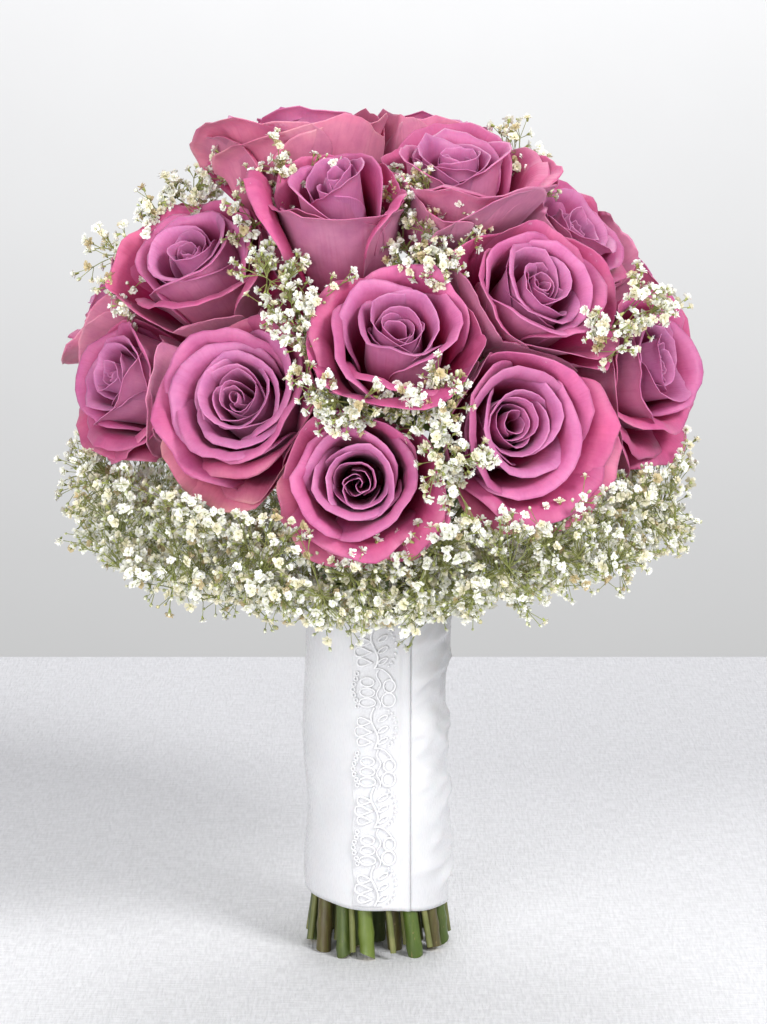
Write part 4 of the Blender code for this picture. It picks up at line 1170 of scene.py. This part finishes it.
def satin_creases(azimuth, z):
    """Soft puckers and slanted creases of the slack satin, as heights."""
    rng = np.random.default_rng(41)
    heights = np.zeros_like(z)
    for _ in range(CREASES):
        at_z = rng.uniform(26, 150)
        at_azimuth = math.radians(rng.uniform(-328, -272) if rng.uniform() < 0.8 else rng.uniform(-272, -235))
        slope = rng.uniform(-0.7, 1.0)
        long, wide = rng.uniform(5, 14), rng.uniform(1.0, 2.8)
        x, y = (azimuth - at_azimuth) * WRAP_RADIUS, z - at_z
        along = (x + slope * y) / math.hypot(1, slope)
        across = (y - slope * x) / math.hypot(1, slope)
        heights += rng.uniform(0.5, 1.8) * hump(along, 0, long) * hump(across, 0, wide)
    return CREASE_HEIGHT * np.tanh(heights / 2.0)


def wrap_radius(share, azimuth, z):
    """The satin's distance from the handle's axis, for its share of the way round, its azimuth and height."""
    swing = np.sin(azimuth)
    arc = share * math.radians(WRAP_TURN) * WRAP_RADIUS
    radius = WRAP_RADIUS - 0.8 * smooth(share, 0.02, 0.92)

    # The folded edge stands a little proud and turns in, and a soft pleat runs along it
    radius += 0.5 * hump(arc, 1.6, 1.5) - 0.5 * hump(arc, 0, 0.5) + 0.5 * hump(arc, 6.5, 1.3)

    # The left side bellies out in two places, and the right side sinks in twice
    belly = hump(z, 100, 22) + 0.9 * hump(z, 36, 16) - 0.5 * hump(z, 66, 12)
    radius += 1.5 * belly * smooth(-swing, 0.2, 0.95)
    sunk = hump(z, 115, 13) + 0.8 * hump(z, 83, 4)
    radius -= 2.0 * sunk * smooth(swing, 0.6, 0.95)

    # It is slack and creased on the right
    slack = smooth(share, 0.62, 0.72) * (1 - smooth(share, 0.885, 0.905))
    return radius + slack * satin_creases(azimuth, z) + 0.15 * np.sin(azimuth * 5 + z * 0.03)


def wrap_sheet(surface):
    """The satin wrap: one sheet around the stems, its free edge folded over in front."""
    share, up = np.meshgrid(*(np.linspace(0, 1, count) for count in WRAP_GRID))
    azimuth = np.radians(mix(SEAM_AZIMUTH, SEAM_AZIMUTH - WRAP_TURN, share))
    swing = np.sin(azimuth)
    hem = WRAP_BOTTOM_Z - WRAP_SLANT * swing + 2.4 * smooth(-swing, 0.4, 1.0)
    hem += 0.6 * np.sin(3 * azimuth + 1) + 0.35 * np.sin(7 * azimuth)
    z = mix(hem, WRAP_TOP_Z, up)
    radius = wrap_radius(share, azimuth, z)
    shape = Shape()
    shape.add(*thin_sheet(np.stack([radius * swing, -radius * np.cos(azimuth), z], -1), FABRIC))
    made = shape.as_object("satin_wrap_sheet", [surface], "satin_wrap")


def on_wrap(x, z, lift):
    """A place on the front of the wrap, by its arc from the lace band's middle and its height."""
    angle = np.radians(LACE_AZIMUTH) + np.asarray(x, float) / WRAP_RADIUS
    radius = WRAP_RADIUS + GAP + lift
    return np.stack([radius * np.sin(angle), -radius * np.cos(angle), np.broadcast_to(z, angle.shape)], -1)


def cord(shape, x, z, radius=CORD_RADIUS, sides=6):
    """A cord laid on the lace by its drawn line."""
    shape.add(*tube(on_wrap(x, z, CORD_LIFT), [radius] * len(x), sides))


def pearl(shape, x, z):
    """A small pearl sewn on the lace, with its poles at its front and back."""
    middle = on_wrap([x], [z], PEARL_LIFT)[0]
    polar = math.pi * np.arange(1, PEARL_RINGS + 1) / (PEARL_RINGS + 1)
    ball = PEARL_RADIUS * rings_of(zip(np.sin(polar), np.cos(polar)), PEARL_SIDES)[:, [0, 2, 1]]
    shape.add(middle + ball, ring_quads(PEARL_RINGS, PEARL_SIDES))
    caps = ((ball[:PEARL_SIDES], PEARL_RADIUS, 1), (ball[-PEARL_SIDES:], -PEARL_RADIUS, -1))
    for rim, pole, order in caps:
        fan = [(k, (k + 1) % PEARL_SIDES, PEARL_SIDES)[::order] for k in range(PEARL_SIDES)]
        shape.add([*(middle + rim), middle + (0, pole, 0)], fan)


def lace_left(work, z0):
    """A half repeat: a dotted left edge, three ovals, a wavy line, a figure of eight and a curl."""
    t = np.linspace(0, 2 * math.pi, 21)
    s = np.linspace(0, 1, 18)
    for k in range(7):
        x, z = -8.7 + 0.9 * math.cos(k * 1.05), z0 + 1.2 + k * 2.4
        cord(work, x + 0.85 * np.cos(t[::2]), z + 0.95 * np.sin(t[::2]), radius=0.36, sides=5)
    for k in range(3):
        cord(work, -3.4 + (3.5 - 0.3 * k) * np.cos(t), z0 + 2.8 + 4.6 * k + 2.0 * np.sin(t))
    cord(work, 1.4 + 0.9 * np.sin(4 * math.pi * s), z0 + 17.5 * s, radius=0.36)
    cord(work, 5.6 + 2.9 * np.cos(t), z0 + 4.0 + 3.2 * np.sin(t))
    cord(work, 6.0 + 2.5 * np.cos(t), z0 + 10.2 + 2.9 * np.sin(t))
    s = np.linspace(0, 1, 14)
    cord(work, 7.4 - 7.6 * s**1.4, z0 + 12 + 6.2 * np.sin(s * 1.7), radius=0.4)


def lace_right(work, z0):
    """A half repeat: three drops on the left, a winding stem with leaves, and an arc of pearls."""
    t = np.linspace(0, 2 * math.pi, 21)
    s = np.linspace(0, 1, 18)
    drop = (1 - np.cos(t)) / 2
    for k, size in enumerate((1.1, 1.28, 1.1)):
        cord(work, -1.2 - 6.0 * size * drop, z0 + 3.0 + 4.5 * k + 2.6 * size * np.sin(t) * drop)
    cord(work, -0.4 + 1.5 * np.sin(2 * math.pi * s), z0 + 18.6 * s, radius=0.5)
    leaf = 4.0 * np.sin(t / 2) ** 2
    for k in range(3):
        cord(work, 1.2 + leaf, z0 + 2.6 + 5.0 * k + 0.5 * leaf + 1.1 * np.sin(t), radius=0.38)
    for turn in np.linspace(-1.15, 1.15, 9):
        pearl(work, 3.4 + 5.4 * math.cos(turn), z0 + 9.3 + 8.6 * math.sin(turn))


def lace(net, cords):
    """The lace band: sheer net with scalloped edges, and looped cord and pearls sewn over it."""
    bottom, top = WRAP_BOTTOM_Z + LACE_MARGINS[0], WRAP_TOP_Z - LACE_MARGINS[1]
    rows, columns = LACE_GRID
    fan = np.sin(np.linspace(-1, 1, columns) * math.pi / 2)
    up, across = np.meshgrid(np.linspace(0, 1, rows), fan, indexing="ij")
    swing = 0.95 + 0.05 * np.cos(up * LACE_SCALLOPS * math.pi) * np.abs(across)
    points = on_wrap(across * LACE_WIDTH / 2 * swing, mix(bottom, top, up), 0.0)
    ground = Shape()
    ground.add(*thin_sheet(points, NET_THICKNESS))
    made = ground.as_object("lace_band_net", [net], "lace_band")
    work = Shape()
    half = (top - bottom - 2) / LACE_HALVES
    for number in range(LACE_HALVES):
        draw = lace_right if number % 2 == 0 else lace_left
        draw(work, bottom + 1 + number * half)
    work.as_object("lace_band_cords", [cords])


# Room, light and camera

def plane(name, corners, surface):
    """A flat piece of the stage."""
    mesh = bpy.data.meshes.new(name)
    mesh.from_pydata([tuple(c * MM for c in corner) for corner in corners], [], [(0, 1, 2, 3)])
    mesh.materials.append(surface)
    in_scene(name, mesh)


def room():
    """A table with a linen cloth and a pale wall behind it."""
    front, back = TABLE_Y
    table = ((-TABLE_X, front, 0), (TABLE_X, front, 0), (TABLE_X, back, 0), (-TABLE_X, back, 0))
    plane("table", table, table_surface())
    low, high = WALL_Z
    wall = ((-WALL_X, WALL_Y, low), (WALL_X, WALL_Y, low), (WALL_X, WALL_Y, high), (-WALL_X, WALL_Y, high))
    plane("backdrop", wall, wall_surface())


def softbox(name, place, size, power, aim=(0, 0, 0.24)):
    """An area light, in metres and watts, that faces the flowers or another place."""
    light = bpy.data.lights.new(name, "AREA")
    light.shape = "RECTANGLE"
    light.size, light.size_y = size
    light.energy = power
    made = in_scene(name, light)
    made.location = place
    made.rotation_euler = (Vector(aim) - made.location).to_track_quat("-Z", "Y").to_euler()


def lights():
    """A pale sky, a key light at the right, a broad fill at the left, one behind, and one for the wall."""
    world = bpy.data.worlds.new("studio")
    bpy.context.scene.world = world
    world.use_nodes = True
    world.node_tree.nodes["Background"].inputs[0].default_value = (0.97, 0.98, 1.0, 1)
    world.node_tree.nodes["Background"].inputs[1].default_value = 0.38
    softbox("key", (1.6, -1.7, 2.0), (0.8, 0.8), 66)
    softbox("fill", (-0.9, -2.2, 0.7), (1.4, 1.4), 42)
    softbox("back", (0.0, 1.0, 1.6), (0.8, 0.8), 13)
    softbox("wall_wash", (0.2, 1.7, 2.0), (1.6, 1.0), 34, aim=(0.1, 3.0, 0.0))
    bpy.context.scene.view_settings.view_transform = "Standard"


def camera():
    """The photograph's camera: a little above the flowers, 1.6 m from the bouquet."""
    made = bpy.data.cameras.new("camera")
    made.sensor_fit = "VERTICAL"
    made.sensor_height = SENSOR
    made.lens = LENS
    seen = in_scene("camera", made)
    forward = Vector((0, math.cos(math.radians(CAMERA_RISE)), -math.sin(math.radians(CAMERA_RISE))))
    seen.location = Vector(AIM) * MM - CAMERA_REACH * MM * forward
    seen.rotation_euler = forward.to_track_quat("-Z", "Y").to_euler()
    bpy.context.scene.camera = seen


def bouquet():
    """Every piece of the bouquet."""
    petals = petal_surface()
    for index in range(len(ROSES)):
        rose_head(index, petals)
    bark, cut = stem_surface(), cut_surface()
    for index in range(len(ROSES)):
        rose_stem(index, bark, cut)
    surfaces = [floret_surface(), twig_surface()]
    for number, (heading, left, right) in enumerate(collar_headings(), start=1):
        collar_spray(number, heading, left, right, surfaces)
    for number, (middle, clumps) in enumerate(FILLS.values(), start=len(COLLAR_GAPS) + 1):
        fill_spray(number, middle, clumps, surfaces)
    wrap_sheet(satin_surface())
    lace(net_surface(), cord_surface())
    tape = tape_surface()
    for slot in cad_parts["stem_binding"].material_slots:
        slot.material = tape


camera()
lights()
room()
bouquet()
